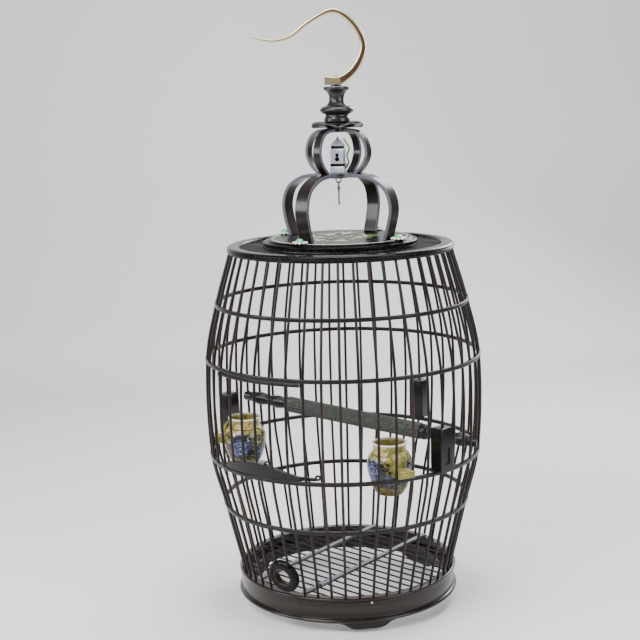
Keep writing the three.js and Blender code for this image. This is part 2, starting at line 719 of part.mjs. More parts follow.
// The metal keepsake that stands in the lantern: a square vase on a plinth, under a small roof, with a
// gourd window through each face and a thin curling handle at its right.
function makeOrnament() {
  const half = ORNAMENT_HALF;
  const levels = [
    [half + 0.4, 0],
    [half + 0.8, 1.2],
    [half + 0.8, 8.5],
    [half - 0.8, 9.4],
    [half - 0.8, 11],
    [half, 12.4],
    [half, 25],
    [half + 0.6, 28],
    [half + 0.2, 30],
    [half - 2.2, 31],
    [half - 2.2, 32.6],
    [half - 0.7, 34],
    [half - 0.7, 35.4],
    [half - 3.6, 38.6],
    [half - 6.6, 42.4],
    [half - 7.3, 44.6],
  ];
  const corners = [
    [-1, -1],
    [1, -1],
    [1, 1],
    [-1, 1],
  ];
  const sections = levels.map(([reach, height]) =>
    corners.map(([x, y]) => new THREE.Vector3(x * reach, y * reach, height)),
  );
  const windows = [];
  for (const [height, radius] of [
    [17.5, 2.9],
    [22.4, 2.3],
  ]) {
    const bore = new THREE.CylinderGeometry(radius, radius, 4 * half, 10);
    windows.push(bore.clone().translate(0, 0, height));
    windows.push(bore.rotateZ(Math.PI / 2).translate(0, 0, height));
  }
  const curls = [
    [-1, 5],
    [3, 9],
    [5, 14],
    [3, 22],
    [6, 30],
    [2, 38],
    [-1, 42],
  ].map(([out, height]) => new THREE.Vector3(half + out, 0, height));
  const vase = joined([cut(lofted(sections), windows), rod(curls, HANDLE_WIRE, 6, 16)]);
  vase.rotateZ(radians(ORNAMENT_TURN));
  vase.translate(0, 0, LANTERN_BOTTOM);
  add("ornament", vase, silver);
}

// The lotus-leaf plate: a thin dish whose rim rises in lobes, falls back between them and curls over.
function makeLeaf() {
  const points = 48;
  const rings = [3, 15, 21, 27, LEAF_RADIUS - 2.5, LEAF_RADIUS];
  const rises = [0, 0, 0.16, 0.5, 1, 0.88];
  const flat = rings[1];
  const surface = (level) =>
    rings.map((radius, number) => {
      const share = Math.max(0, (radius - flat) / (LEAF_RADIUS - flat));
      return Array.from({ length: points }, (unused, i) => {
        const angle = (i / points) * 2 * Math.PI;
        const lobe = Math.abs(Math.sin((LEAF_LOBES / 2) * angle)) ** 0.8;
        const reach = radius - LEAF_NOTCH * share * (1 - lobe);
        return around(reach, angle, level + LEAF_WAVE * rises[number] * lobe);
      });
    });
  const under = surface(LEAF_BOTTOM);
  const over = surface(LEAF_BOTTOM + LEAF_THICKNESS).reverse();
  add("leaf_plate", lofted([...under, ...over]), lacquer);
}

// The turned finial, bored from the top for the hook's pin.
function makeFinial() {
  const z = FINIAL_BOTTOM;
  const bore = PIN_RADIUS + RUNNING_GAP;
  const floor = FINIAL_TOP - PIN_DEPTH - 2 * RUNNING_GAP;
  const outline = [
    [0, z],
    [14, z],
    [14, z + 4.5],
    [15.8, z + 6],
    [15.8, z + 10],
    [14.2, z + 13],
    [14.6, z + 14.6],
    [FINIAL_BULGE - 1.8, z + 16.8],
    [FINIAL_BULGE, z + 19],
    [FINIAL_BULGE - 0.6, z + 21.4],
    [17, z + 24],
    [12, z + 26.2],
    [FINIAL_NECK + 0.6, z + 29.4],
    [FINIAL_NECK, z + 34],
    [FINIAL_NECK + 1.6, z + 39],
    [13.6, z + 43],
    [FINIAL_FLANGE, z + 44.4],
    [FINIAL_FLANGE, FINIAL_TOP - 1],
    [FINIAL_FLANGE - 1.2, FINIAL_TOP],
    [bore, FINIAL_TOP],
    [bore, floor],
    [0, floor],
  ];
  add("finial", turned(outline, 24), lacquer);
}

// The swan-neck hook, tapering from a square root to a point, with the pin that it swivels on.
function makeHook() {
  const root = HOOK_BOTTOM + HOOK_ROOT_HEIGHT / 2;
  const path = [
    [0.143, 0],
    [-0.05, 0],
    [-0.24, 0.19],
    [-0.334, 0.506],
    [-0.204, 0.828],
    [0.03, 1],
    [0.319, 0.844],
    [0.537, 0.65],
    [0.764, 0.593],
    [1, 0.657],
  ].map(([out, up]) => new THREE.Vector3(-HOOK_REACH * out, 0, root + HOOK_RISE * up));
  const curve = new THREE.CatmullRomCurve3(path);
  const steps = 30;
  const sections = curve.getSpacedPoints(steps).map((point, i) => {
    const t = i / steps;
    const tangent = curve.getTangentAt(t);
    const up = new THREE.Vector3(-tangent.z, 0, tangent.x);
    const taper = (1 - t) ** 0.85;
    const high = (HOOK_TIP_SIZE + (HOOK_ROOT_HEIGHT - HOOK_TIP_SIZE) * taper) / 2;
    const wide = (HOOK_TIP_SIZE + (HOOK_ROOT_WIDTH - HOOK_TIP_SIZE) * taper) / 2;
    return [22.5, 67.5, 112.5, 157.5, 202.5, 247.5, 292.5, 337.5].map((degrees) => {
      const squared = 1 / Math.cos(Math.PI / 8);
      const offset = up.clone().multiplyScalar(high * squared * Math.sin(radians(degrees)));
      offset.y = wide * squared * Math.cos(radians(degrees));
      return point.clone().add(offset);
    });
  });
  const neck = between(lofted(sections), HOOK_BOTTOM, HOOK_BOTTOM + 2 * HOOK_RISE);
  const rivet = HOOK_BOTTOM + HOOK_ROOT_HEIGHT;
  const pinOutline = [
    [0, FINIAL_TOP - PIN_DEPTH],
    [PIN_RADIUS, FINIAL_TOP - PIN_DEPTH],
    [PIN_RADIUS, rivet],
    [PIN_RADIUS + 1, rivet],
    [PIN_RADIUS, rivet + RIVET_HEIGHT / 2],
    [0, rivet + RIVET_HEIGHT],
  ];
  add("hook", joined([neck, turned(pinOutline, 12)]), brass);
  const bore = PIN_RADIUS + RUNNING_GAP;
  const washer = ring(bore, WASHER_RADIUS, WASHER_BOTTOM, WASHER_BOTTOM + WASHER_HEIGHT, 20);
  add("hook_washer", washer, darkSteel);
}

// Rosettes: a pearl flower outboard of each claw foot, with a jade bead in its middle.
function makeRosettes() {
  const centre = CLAW_FOOT_RADIUS + CLAW_THICKNESS / 2 + ROSETTE_RADIUS + 2.7;
  const bottom = BOARD_TOP + SEAT_GAP;
  const rise = bottom + ROSETTE_THICKNESS + SEAT_GAP;
  const points = 4 * ROSETTE_PETALS;
  const flower = new THREE.Shape();
  for (let i = 0; i < points; i += 1) {
    const angle = (i / points) * 2 * Math.PI;
    const scallop = Math.abs(Math.cos((ROSETTE_PETALS / 2) * angle));
    const radius = ROSETTE_RADIUS - ROSETTE_SCALLOP * (1 - scallop);
    flower[i ? "lineTo" : "moveTo"](radius * Math.cos(angle), radius * Math.sin(angle));
  }
  const dome = [
    [0, rise],
    [JADE_RADIUS, rise],
    [JADE_RADIUS * 0.94, rise + JADE_HEIGHT * 0.45],
    [JADE_RADIUS * 0.58, rise + JADE_HEIGHT * 0.87],
    [0, rise + JADE_HEIGHT],
  ];
  for (let number = 0; number < STRIP_COUNT; number += 1) {
    const place = around(centre, stripAngle(number), bottom);
    const depth = ROSETTE_THICKNESS;
    const petals = new THREE.ExtrudeGeometry(flower, { depth, bevelEnabled: false });
    add(`rosette_${number + 1}`, petals.translate(place.x, place.y, place.z), pearl);
    add(`bead_${number + 1}`, turned(dome, 12).translate(place.x, place.y, 0), jade);
  }
}

// The door's bottom rail at a share of the way from its hinge bar to its closing bar: how high its
// hump stands, from 0 to 1.
const humpShare = (share) => Math.sin(Math.PI * share ** DOOR_SKEW) ** DOOR_WAIST;

// The door: five bars between a top rail and a humped bottom rail, hung by two eyes on a wall bar.
function makeDoor() {
  const bottom = SILL_TOP + RUNNING_GAP;
  const top = LINTEL_UNDERSIDE - RUNNING_GAP;
  const left = barAngle(DOOR_HINGE_BAR);
  const right = barAngle(DOOR_HINGE_BAR + DOOR_BARS + 1);
  const clear = (EYE_RADIUS - 1) / SILL_HOOP_RADIUS;
  const stop = (BAR_RADIUS + RUNNING_GAP) / SILL_HOOP_RADIUS;
  const half = DOOR_RAIL_WIDTH / 2;
  const inset = BAR_RADIUS + half + RUNNING_GAP;
  const hump = bent(left + clear, right + radians(4), 26, (t, angle) => {
    const past = Math.max(0, Math.min(1, (angle - right + 4 * stop) / (3 * stop)));
    const middle = barrelRadius(bottom) - past * inset;
    const share = Math.min(1, Math.max(0, (angle - left) / (right - left)));
    const height = humpShare(share);
    const rise = DOOR_RAIL_LOW + (DOOR_HUMP - DOOR_RAIL_LOW) * height;
    return [
      [middle - half, bottom],
      [middle + half, bottom],
      [middle + half, bottom + rise],
      [middle - half - DOOR_FLARE * height, bottom + rise],
    ];
  });
  const batten = bent(left + clear, right - 2 * stop, 12, () => {
    const middle = barrelRadius(top);
    return [
      [middle - half, top - DOOR_TOP_RAIL],
      [middle + half, top - DOOR_TOP_RAIL],
      [middle + half, top],
      [middle - half, top],
    ];
  });
  const curl = new THREE.TorusGeometry(CURL_RADIUS, CURL_WIRE, 6, 12);
  curl.rotateX(Math.PI / 2);
  curl.rotateZ(right + Math.PI / 2);
  const curlPlace = around(barrelRadius(bottom) - inset, right + radians(4.6), bottom);
  curl.translate(curlPlace.x, curlPlace.y, curlPlace.z + CURL_RADIUS + CURL_WIRE);
  const tabAngle = left + (right - left) * DOOR_TAB_SHARE;
  const tabReach = barrelRadius(bottom) + half - DOOR_TAB_DEPTH / 2;
  const crown = DOOR_RAIL_LOW + (DOOR_HUMP - DOOR_RAIL_LOW) * humpShare(DOOR_TAB_SHARE);
  const tab = box(DOOR_TAB_DEPTH, DOOR_TAB_LENGTH, DOOR_TAB_HEIGHT);
  tab.translate(tabReach, 0, bottom + crown + DOOR_TAB_HEIGHT / 2 - 1);
  tab.rotateZ(tabAngle);
  const pieces = [hump, batten, curl, tab];
  for (let i = 1; i <= DOOR_BARS; i += 1) {
    pieces.push(bar(DOOR_HINGE_BAR + i, bottom + 2, top - DOOR_TOP_RAIL / 2));
  }
  for (const z of [bottom, top - EYE_HEIGHT]) {
    const place = around(barReach(z + EYE_HEIGHT / 2), left, 0);
    const eye = ring(BAR_RADIUS + RUNNING_GAP, EYE_RADIUS, z, z + EYE_HEIGHT, 14);
    pieces.push(eye.translate(place.x, place.y, 0));
  }
  add("door", joined(pieces), barWood);
}

// Stop blocks: each is threaded on one bar and stands on the sill hoop.
function makeBlocks() {
  BLOCK_BARS.forEach((number, i) => {
    const bottom = SILL_TOP + SEAT_GAP;
    const angle = barAngle(number);
    const outline = new THREE.Shape();
    const [w, d, c] = [BLOCK_WIDTH / 2, BLOCK_DEPTH / 2, BLOCK_CHAMFER];
    outline.moveTo(-w + c, -d);
    outline.lineTo(w - c, -d);
    outline.lineTo(w, -d + c);
    outline.lineTo(w, d - c);
    outline.lineTo(w - c, d);
    outline.lineTo(-w + c, d);
    outline.lineTo(-w, d - c);
    outline.lineTo(-w, -d + c);
    const body = new THREE.ExtrudeGeometry(outline, { depth: BLOCK_HEIGHT, bevelEnabled: false });
    const recess = box(RECESS_WIDTH, 2 * RECESS_DEPTH, RECESS_HEIGHT);
    recess.translate(0, -d, BLOCK_HEIGHT * 0.36);
    const carved = cut(body, [recess]);
    carved.rotateZ(angle + Math.PI / 2);
    const place = around(barReach(bottom + BLOCK_HEIGHT / 2), angle, bottom);
    carved.translate(place.x, place.y, place.z);
    const bore = bar(number, bottom - 5, bottom + BLOCK_HEIGHT + 5, BAR_RADIUS + RUNNING_GAP);
    add(`stop_block_${i + 1}`, cut(carved, [bore]), wood);
  });
}

// The perch: a turned rod forked over a wall bar at each end, with an abrasive sleeve on its middle.
function makePerch() {
  const leftZ = BASE_TOP + PERCH_LEFT_RISE;
  const rightZ = BASE_TOP + PERCH_RIGHT_RISE;
  const left = around(barReach(leftZ), barAngle(PERCH_LEFT_BAR), leftZ);
  const right = around(barReach(rightZ), barAngle(PERCH_RIGHT_BAR), rightZ);
  const length = left.distanceTo(right);
  const core = SLEEVE_RADIUS - SLEEVE_WALL;
  const start = SLEEVE_START;
  const end = length - SLEEVE_END;
  const bulges = (from, to) => {
    const middle = (from + to) / 2;
    const quarter = (to - from) / 4;
    return [
      [PERCH_NECK, from],
      [PERCH_RADIUS * 0.92, from + quarter * 0.4],
      [PERCH_RADIUS, from + quarter],
      [PERCH_RADIUS * 0.9, middle - quarter * 0.4],
      [PERCH_NECK, middle],
      [PERCH_RADIUS * 0.9, middle + quarter * 0.4],
      [PERCH_RADIUS, to - quarter],
      [PERCH_RADIUS * 0.92, to - quarter * 0.4],
      [PERCH_NECK, to],
    ];
  };
  const outline = [
    [0, -PERCH_PAST],
    [PERCH_NECK, -PERCH_PAST],
    ...bulges(8, start - 6),
    [core - SEAT_GAP, start - 3],
    [core - SEAT_GAP, end + 3],
    [SLEEVE_RADIUS - 0.6, end + 4],
    [SLEEVE_RADIUS - 0.2, end + 9],
    [SLEEVE_RADIUS - 2.4, end + 14],
    ...bulges(end + 20, length - 8),
    [PERCH_NECK, length + PERCH_PAST],
    [0, length + PERCH_PAST],
  ];
  const turn = new THREE.Quaternion().setFromUnitVectors(
    new THREE.Vector3(1, 0, 0),
    right.clone().sub(left).normalize(),
  );
  const lay = (geometry) => geometry.applyQuaternion(turn).translate(left.x, left.y, left.z);
  const shaft = turned(outline, 16).rotateY(Math.PI / 2);
  const slot = 2 * (BAR_RADIUS + RUNNING_GAP);
  const forks = [-PERCH_PAST, length + PERCH_PAST].map((x) =>
    box(16, slot, 40).translate(x, 0, 0),
  );
  add("perch", lay(cut(shaft, forks)), lacquer);
  const sleeve = ring(core, SLEEVE_RADIUS, start - 2, end + 3 - SEAT_GAP, 18);
  add("perch_sleeve", lay(sleeve.rotateY(Math.PI / 2)), grit);
}

// A glazed jar with a flat pad on its outward side and a square ear that passes between two bars and
// hooks over them.
function makeCup(name, gap) {
  const foot = SILL_TOP + SEAT_GAP - CUP_DROP;
  const rise = (share) => foot + CUP_HEIGHT * share;
  const neck = CUP_MOUTH - 1.2;
  const outside = [
    [0, foot + 1],
    [CUP_RADIUS * 0.48, foot + 1],
    [CUP_RADIUS * 0.51, foot],
    [CUP_RADIUS * 0.57, foot],
    [CUP_RADIUS * 0.75, rise(0.13)],
    [CUP_RADIUS * 0.9, rise(0.3)],
    [CUP_RADIUS * 0.98, rise(0.45)],
    [CUP_RADIUS, rise(0.57)],
    [CUP_RADIUS * 0.97, rise(0.67)],
    [CUP_RADIUS * 0.88, rise(0.77)],
    [neck, rise(0.85)],
    [neck + 0.4, rise(0.93)],
    [CUP_MOUTH, rise(0.97)],
    [CUP_MOUTH - 1, rise(1)],
    [0, rise(1)],
  ];
  const inside = [
    [0, foot + CUP_WALL + 1],
    [CUP_RADIUS * 0.58, rise(0.1)],
    [CUP_RADIUS * 0.9 - CUP_WALL, rise(0.32)],
    [CUP_RADIUS - CUP_WALL, rise(0.56)],
    [CUP_RADIUS * 0.88 - CUP_WALL, rise(0.76)],
    [neck - CUP_WALL, rise(0.84)],
    [CUP_MOUTH - CUP_WALL, rise(0.98)],
    [CUP_MOUTH - CUP_WALL + 1, rise(1.02)],
    [0, rise(1.02)],
  ];
  const reach = SILL_HOOP_RADIUS - BAR_RADIUS - CUP_STAND_OFF - CUP_RADIUS;
  const bottom = SILL_TOP + SEAT_GAP;
  const spacing = (2 * SILL_HOOP_RADIUS * Math.PI) / BAR_COUNT;
  const width = spacing - 2 * (BAR_RADIUS + RUNNING_GAP);
  const flangeIn = barReach(SILL_TOP + CUP_LIFT + EAR_HEIGHT) + BAR_RADIUS + SEAT_GAP;
  const slab = (from, to, across, top) => {
    const body = box(to - from, across, top - bottom);
    return body.translate((from + to) / 2, 0, (bottom + top) / 2);
  };
  const pad = slab(reach, reach + CUP_RADIUS, width, rise(0.86));
  const ear = slab(reach, flangeIn + FLANGE_THICKNESS, width, bottom + EAR_HEIGHT);
  const flange = slab(flangeIn, flangeIn + FLANGE_THICKNESS, spacing, bottom + EAR_HEIGHT);
  const segments = 26;
  const jar = turned(outside, segments).translate(reach, 0, 0);
  const hollow = turned(inside, segments).translate(reach, 0, 0);
  const cup = cut(joined([jar, pad, ear, flange]), [hollow]);
  add(name, cup.rotateZ(barAngle(gap)), ceramic);
}

// Floor grille: fine wires under two battens. Its front wires lie on the base ring's ledge and the far
// ends of the battens lie on the ring's top, so that it slopes to the front.
function makeFloor() {
  const pieces = [];
  const reach = (radius) => Math.sqrt(radius ** 2 - BATTEN_OFFSET ** 2);
  const count = Math.floor((reach(FLOOR_RADIUS) - BATTEN_WIDTH) / WIRE_PITCH);
  for (let i = -count; i <= count; i += 1) {
    const x = i * WIRE_PITCH;
    const half = Math.sqrt(FLOOR_RADIUS ** 2 - x ** 2);
    const wire = box(2 * WIRE_RADIUS, 2 * half, 2 * WIRE_RADIUS);
    pieces.push(wire.translate(x, 0, 0));
  }
  const rim = FOOT_RING_RADIUS - BAR_RADIUS - RUNNING_GAP;
  for (const side of [-1, 1]) {
    const [near, far] = [-reach(FLOOR_RADIUS), reach(rim)];
    const batten = box(far - near, BATTEN_WIDTH, BATTEN_HEIGHT);
    pieces.push(batten.translate((near + far) / 2, side * BATTEN_OFFSET, BATTEN_HEIGHT / 2));
  }
  const low = BASE_TOP - LEDGE_DROP + SEAT_GAP + WIRE_RADIUS;
  const high = BASE_TOP + SEAT_GAP;
  const back = reach(BASE_RADIUS - BASE_WALL);
  const slope = Math.atan((high - low) / (back + FLOOR_RADIUS));
  const lay = (geometry) => {
    geometry.rotateY(-slope).rotateZ(radians(FLOOR_TURN));
    return geometry.translate(0, 0, low + FLOOR_RADIUS * Math.tan(slope));
  };
  add("floor_grille", lay(joined(pieces)), greyWood);
  const tab = box(TAB_LENGTH, TAB_WIDTH, TAB_HEIGHT);
  const tabRise = BATTEN_HEIGHT + SEAT_GAP + TAB_HEIGHT / 2;
  tab.translate(TAB_PLACE, -BATTEN_OFFSET, tabRise);
  add("floor_tab", lay(tab), wood);
}

makeBase();
makeFeet();
makeWall();
makePort();
makeTop();
makeClaw();
makePendant();
makeLantern();
makeOrnament();
makeLeaf();
makeFinial();
makeHook();
makeRosettes();
makeDoor();
makeBlocks();
makePerch();
makeCup("cup_right", RIGHT_CUP_GAP);
makeCup("cup_left", LEFT_CUP_GAP);
makeFloor();

export default cage;
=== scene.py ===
"""Looks of a barrel-shaped hanging birdcage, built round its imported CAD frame.

Every piece is modelled here in millimetres, turned into a mesh in metres, dressed with a procedural
finish and set to ride on its CAD body. The CAD nodes stay where they are and are stood for.
"""

import logging
import math
from collections.abc import Callable, Sequence
from dataclasses import dataclass, field
from enum import Enum

import bpy
import numpy as np
from mathutils import Matrix, Vector


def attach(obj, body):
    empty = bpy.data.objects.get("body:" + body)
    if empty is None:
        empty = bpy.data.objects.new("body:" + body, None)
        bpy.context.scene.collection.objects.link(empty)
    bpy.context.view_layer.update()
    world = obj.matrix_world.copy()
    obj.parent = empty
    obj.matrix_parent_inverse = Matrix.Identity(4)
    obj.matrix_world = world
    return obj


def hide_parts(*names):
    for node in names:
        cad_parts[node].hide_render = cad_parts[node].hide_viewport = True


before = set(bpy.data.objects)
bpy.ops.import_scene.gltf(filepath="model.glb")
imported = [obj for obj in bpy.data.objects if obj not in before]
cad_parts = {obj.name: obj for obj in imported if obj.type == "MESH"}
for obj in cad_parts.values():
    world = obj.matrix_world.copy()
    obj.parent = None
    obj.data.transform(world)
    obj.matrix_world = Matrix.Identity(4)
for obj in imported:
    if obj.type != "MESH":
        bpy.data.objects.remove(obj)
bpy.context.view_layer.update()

log = logging.getLogger("birdcage")
MM = 0.001
SEAT = 0.3  # gap between pieces that rest on each other, as in the CAD
CUP_RADIUS = 27.3
CUP_HEIGHT = 62.8
COAT_INDEX = 1.3  # refractive index of a thin clear coat
EDGE_STEPS = 2  # stretches of a block's rounded edge
SPAN_POINTS = 24  # points worked out between two that a smooth path passes through
Array = np.ndarray
Rows = Sequence[Sequence[float]]
UP = np.array([0, 0, 1.0])
SIDEWAYS = np.array([0, 1.0, 0])


class Body(Enum):
    """The CAD bodies that pieces ride on."""

    FRAME = "frame"
    DOOR = "door"
    HOOK = "hook"
    PIN = "pin"
    CUP_RIGHT = "cup_right"
    CUP_LEFT = "cup_left"


class Cells(Enum):
    """What a pattern of cells measures."""

    NEAREST = "F1"
    SOFT = "SMOOTH_F1"
    BORDER = "DISTANCE_TO_EDGE"


# Angles, curves and outlines


def around(radius: float, degrees: float, z: float) -> Array:
    """A point at a radius and an angle round the cage's axis.

    Args:
        radius: Distance from the axis.
        degrees: Angle from +X towards +Y.
        z: Height.

    Returns:
        The point, as x, y, z.
    """
    angle = math.radians(degrees)
    return np.array([radius * math.cos(angle), radius * math.sin(angle), z])


def circle(sides: int) -> Array:
    """Angles at even spacing round a circle."""
    return np.arange(sides) / sides * 2 * math.pi


def moved(rows: Rows, x: float = 0.0, y: float = 0.0) -> list[tuple[float, ...]]:
    """An outline's rows, moved by x and y."""
    return [(row[0] + x, row[1] + y, *row[2:]) for row in rows]


def spin(degrees: float, axis: str = "Z") -> Matrix:
    """A turn about an axis."""
    return Matrix.Rotation(math.radians(degrees), 4, axis)


def shift(x: float, y: float, z: float) -> Matrix:
    """A move."""
    return Matrix.Translation((x, y, z))


def carried(shape: Array, z: float, place: Matrix) -> Array:
    """A flat outline at a height, carried by a matrix."""
    flat = np.column_stack([shape[:, :2], np.full(len(shape), z), np.ones(len(shape))])
    return (flat @ np.array(place).T)[:, :3]


def link(name: str, data: bpy.types.ID) -> bpy.types.Object:
    """Puts a new object in the scene.

    Args:
        name: Its name.
        data: Its mesh, light or camera.

    Returns:
        The object.
    """
    made = bpy.data.objects.new(name, data)
    bpy.context.scene.collection.objects.link(made)
    return made


def unit(vector: Array) -> Array:
    """The vector at length one, along its last axis."""
    length = np.linalg.norm(vector, axis=-1, keepdims=True)
    return vector / np.maximum(length, 1e-9)


def smooth_path(points: Rows, steps: int) -> Array:
    """A Catmull-Rom curve through points, at even spacing.

    Args:
        points: The points to pass through, each with two or three coordinates.
        steps: How many equal stretches to return.

    Returns:
        steps + 1 points.
    """
    p = np.asarray(points, float)
    p = np.vstack([2 * p[0] - p[1], p, 2 * p[-1] - p[-2]])
    dense = []
    t = np.linspace(0, 1, SPAN_POINTS, endpoint=False)[:, None]
    for a, b, c, d in zip(p, p[1:], p[2:], p[3:]):
        square, cube = 2 * a - 5 * b + 4 * c - d, 3 * b - a - 3 * c + d
        dense.append(0.5 * (2 * b + (c - a) * t + square * t**2 + cube * t**3))
    dense = np.vstack([*dense, p[-2:-1]])
    run = np.concatenate([[0], np.cumsum(np.linalg.norm(np.diff(dense, axis=0), axis=1))])
    wanted = np.linspace(0, run[-1], steps + 1)
    return np.stack([np.interp(wanted, run, dense[:, k]) for k in range(p.shape[1])], axis=1)


def rounded(corners: Rows, radius: float, closed: bool, steps: int = 3) -> Array:
    """Rounds the corners of a flat outline, and marks the rounded points as edges.

    Args:
        corners: The outline's corners, as x, y, or as x, y, own radius.
        radius: Radius of each corner that has no radius of its own.
        closed: Whether the last corner joins the first.
        steps: How many stretches each rounding has.

    Returns:
        Rows of x, y and edge weight: 1 on a rounding and 0 on the flats.
    """
    plan = [(np.array(c[:2], float), c[2] if len(c) > 2 else radius) for c in corners]
    count = len(plan)
    rows: list[list[float]] = []
    for i, (point, own) in enumerate(plan):
        if not closed and i in (0, count - 1):
            rows.append([*point, 0])
            continue
        before = plan[i - 1][0] - point
        after = plan[(i + 1) % count][0] - point
        reach = min(np.linalg.norm(before), np.linalg.norm(after))
        near = min(own, 0.42 * reach)
        if near < 1e-3:
            rows.append([*point, 0])
            continue
        guard = min(near * 1.35, 0.46 * reach)
        a, b = unit(before), unit(after)
        rows.append([*(point + a * guard), 0])
        for k in range(steps + 1):
            t = k / steps
            spot = (point + a * near) * (1 - t) ** 2 + 2 * t * (1 - t) * point + (point + b * near) * t**2
            rows.append([*spot, 1])
        rows.append([*(point + b * guard), 0])
    return np.array(rows)


def bar_section(width: float, height: float, radius: float, steps: int = 3) -> Array:
    """A rectangle with rounded corners, centred on the origin."""
    w, h = width / 2, height / 2
    return rounded([(-w, -h), (w, -h), (w, h), (-w, h)], radius, True, steps)


def disc_section(radius: float, sides: int) -> Array:
    """A circle as rows of x, y and edge weight."""
    turn = circle(sides)
    return np.stack([radius * np.cos(turn), radius * np.sin(turn), 0 * turn], axis=1)


# Meshes


@dataclass
class Skin:
    """Mesh data in millimetres, gathered from lofts and turned shapes.

    Attributes:
        points: Vertex positions.
        faces: Vertex numbers of each face.
        uvs: One pair for each corner of each face: length along, then length across.
        tone: One number for each vertex that tells pieces of wood apart.
        edge: One number for each vertex, 1 where an edge is rounded.
    """

    points: list[Array] = field(default_factory=list)
    faces: list[list[int]] = field(default_factory=list)
    uvs: list[tuple[float, float]] = field(default_factory=list)
    tone: list[float] = field(default_factory=list)
    edge: list[float] = field(default_factory=list)

    def loft(
        self,
        sections: Array,
        weights: Array | None = None,
        endless: bool = False,
        caps: bool = True,
        tone: float = 0.5,
    ) -> "Skin":
        """Adds a skin over sections.

        Args:
            sections: Positions, as section, point, coordinate.
            weights: Edge weight of each point of a section, or of each point of every section.
            endless: Whether the last section joins the first.
            caps: Whether the two ends are closed with a face.
            tone: The tone of these vertices.

        Returns:
            This skin.
        """
        rows, sides = sections.shape[:2]
        start = len(self.tone)
        self.points.extend(sections.reshape(-1, 3))
        self.tone.extend([tone] * rows * sides)
        if weights is None:
            weights = np.zeros(sides)
        self.edge.extend(np.broadcast_to(weights, (rows, sides)).reshape(-1))
        middles = sections.mean(axis=1)
        along = np.concatenate([[0], np.cumsum(np.linalg.norm(np.diff(middles, axis=0), axis=1))])
        along = np.append(along, along[-1] + np.linalg.norm(middles[0] - middles[-1]))
        if along[-2] < 1e-6:
            along = np.arange(rows + 1.0)
        ring = np.linalg.norm(np.roll(sections, -1, axis=1) - sections, axis=2)
        across = np.concatenate([[0], np.cumsum(ring[rows // 2])])
        for i in range(rows if endless else rows - 1):
            near, far = start + i * sides, start + ((i + 1) % rows) * sides
            for j in range(sides):
                k = (j + 1) % sides
                self.faces.append([near + j, near + k, far + k, far + j])
                corners = ((i, j), (i, j + 1), (i + 1, j + 1), (i + 1, j))
                self.uvs.extend((along[a], across[b]) for a, b in corners)
        if caps and not endless:
            last = start + (rows - 1) * sides
            self.faces.append([start + j for j in reversed(range(sides))])
            self.faces.append([last + j for j in range(sides)])
            self.uvs.extend([(0, across[j]) for j in reversed(range(sides))])
            self.uvs.extend([(along[-2], across[j]) for j in range(sides)])
        return self

    def turned(
        self,
        outline: Array,
        sides: int,
        centre: Sequence[float] = (0, 0, 0),
        turn: Matrix | None = None,
        endless: bool = False,
        tone: float = 0.5,
    ) -> "Skin":
        """Adds a shape turned about Z.

        Args:
            outline: Rows of radius, height and edge weight.
            sides: How many sides the circle has.
            centre: Where the shape's own origin goes.
            turn: How the shape is turned before it is placed.
            endless: Whether the outline closes on itself, as a ring's does.
            tone: The tone of these vertices.

        Returns:
            This skin.
        """
        radius = np.maximum(outline[:, 0], 1e-4)
        sections = disc_section(1.0, sides)[None] * radius[:, None, None]
        sections[:, :, 2] = outline[:, 1, None]
        if turn is not None:
            sections = sections @ np.array(turn.to_3x3()).T
        weights = np.repeat(outline[:, 2:3], sides, axis=1)
        return self.loft(sections + np.array(centre), weights, endless, not endless, tone)

    def sweep(
        self,
        path: Array,
        outline: Array | Callable[[float], Array],
        across: Array,
        tone: float = 0.5,
        endless: bool = False,
    ) -> "Skin":
        """Adds an outline swept along a path.

        Args:
            path: Points along the middle.
            outline: Rows of x, y and edge weight, or a function of the share along that gives them.
            across: Direction of the outline's x, one for the whole path or one for each point.
            tone: The tone of these vertices.
            endless: Whether the path closes on itself.

        Returns:
            This skin.
        """
        if endless:
            heading = unit(np.roll(path, -1, axis=0) - np.roll(path, 1, axis=0))
        else:
            heading = unit(np.gradient(path, axis=0))
        side = np.broadcast_to(across, path.shape)
        side = unit(side - heading * np.sum(side * heading, axis=1, keepdims=True))
        up = np.cross(heading, side)
        last = max(len(path) - 1, 1)
        shapes = [outline(i / last) if callable(outline) else outline for i in range(len(path))]
        sections = np.array([p + s[:, :1] * x + s[:, 1:2] * y for p, s, x, y in zip(path, shapes, side, up)])
        return self.loft(sections, np.array([s[:, 2] for s in shapes]), endless, True, tone)

    def round_arc(
        self, section: Callable[[float], Array], start: float, end: float, steps: int, tone: float = 0.5
    ) -> "Skin":
        """Adds a piece that follows an arc round the cage's axis.

        Args:
            section: Function of the share along that gives rows of radius, height and edge weight.
            start: First angle, in degrees.
            end: Last angle, in degrees. A full turn is closed on itself.
            steps: How many stretches the arc has.
            tone: The tone of these vertices.

        Returns:
            This skin.
        """
        endless = abs(end - start) >= 359.9
        count = steps if endless else steps + 1
        rows, weights = [], []
        for i in range(count):
            shape = section(i / steps)
            angle = math.radians(start + (end - start) * i / steps)
            radius = shape[:, 0]
            rows.append(np.stack([radius * math.cos(angle), radius * math.sin(angle), shape[:, 1]], axis=1))
            weights.append(shape[:, 2])
        return self.loft(np.array(rows), np.array(weights), endless, True, tone)

    def ring(self, section: Array, steps: int, tone: float = 0.5) -> "Skin":
        """Adds a full ring round the cage's axis, from rows of radius, height and edge weight."""
        return self.round_arc(lambda share: section, 0, 360, steps, tone)

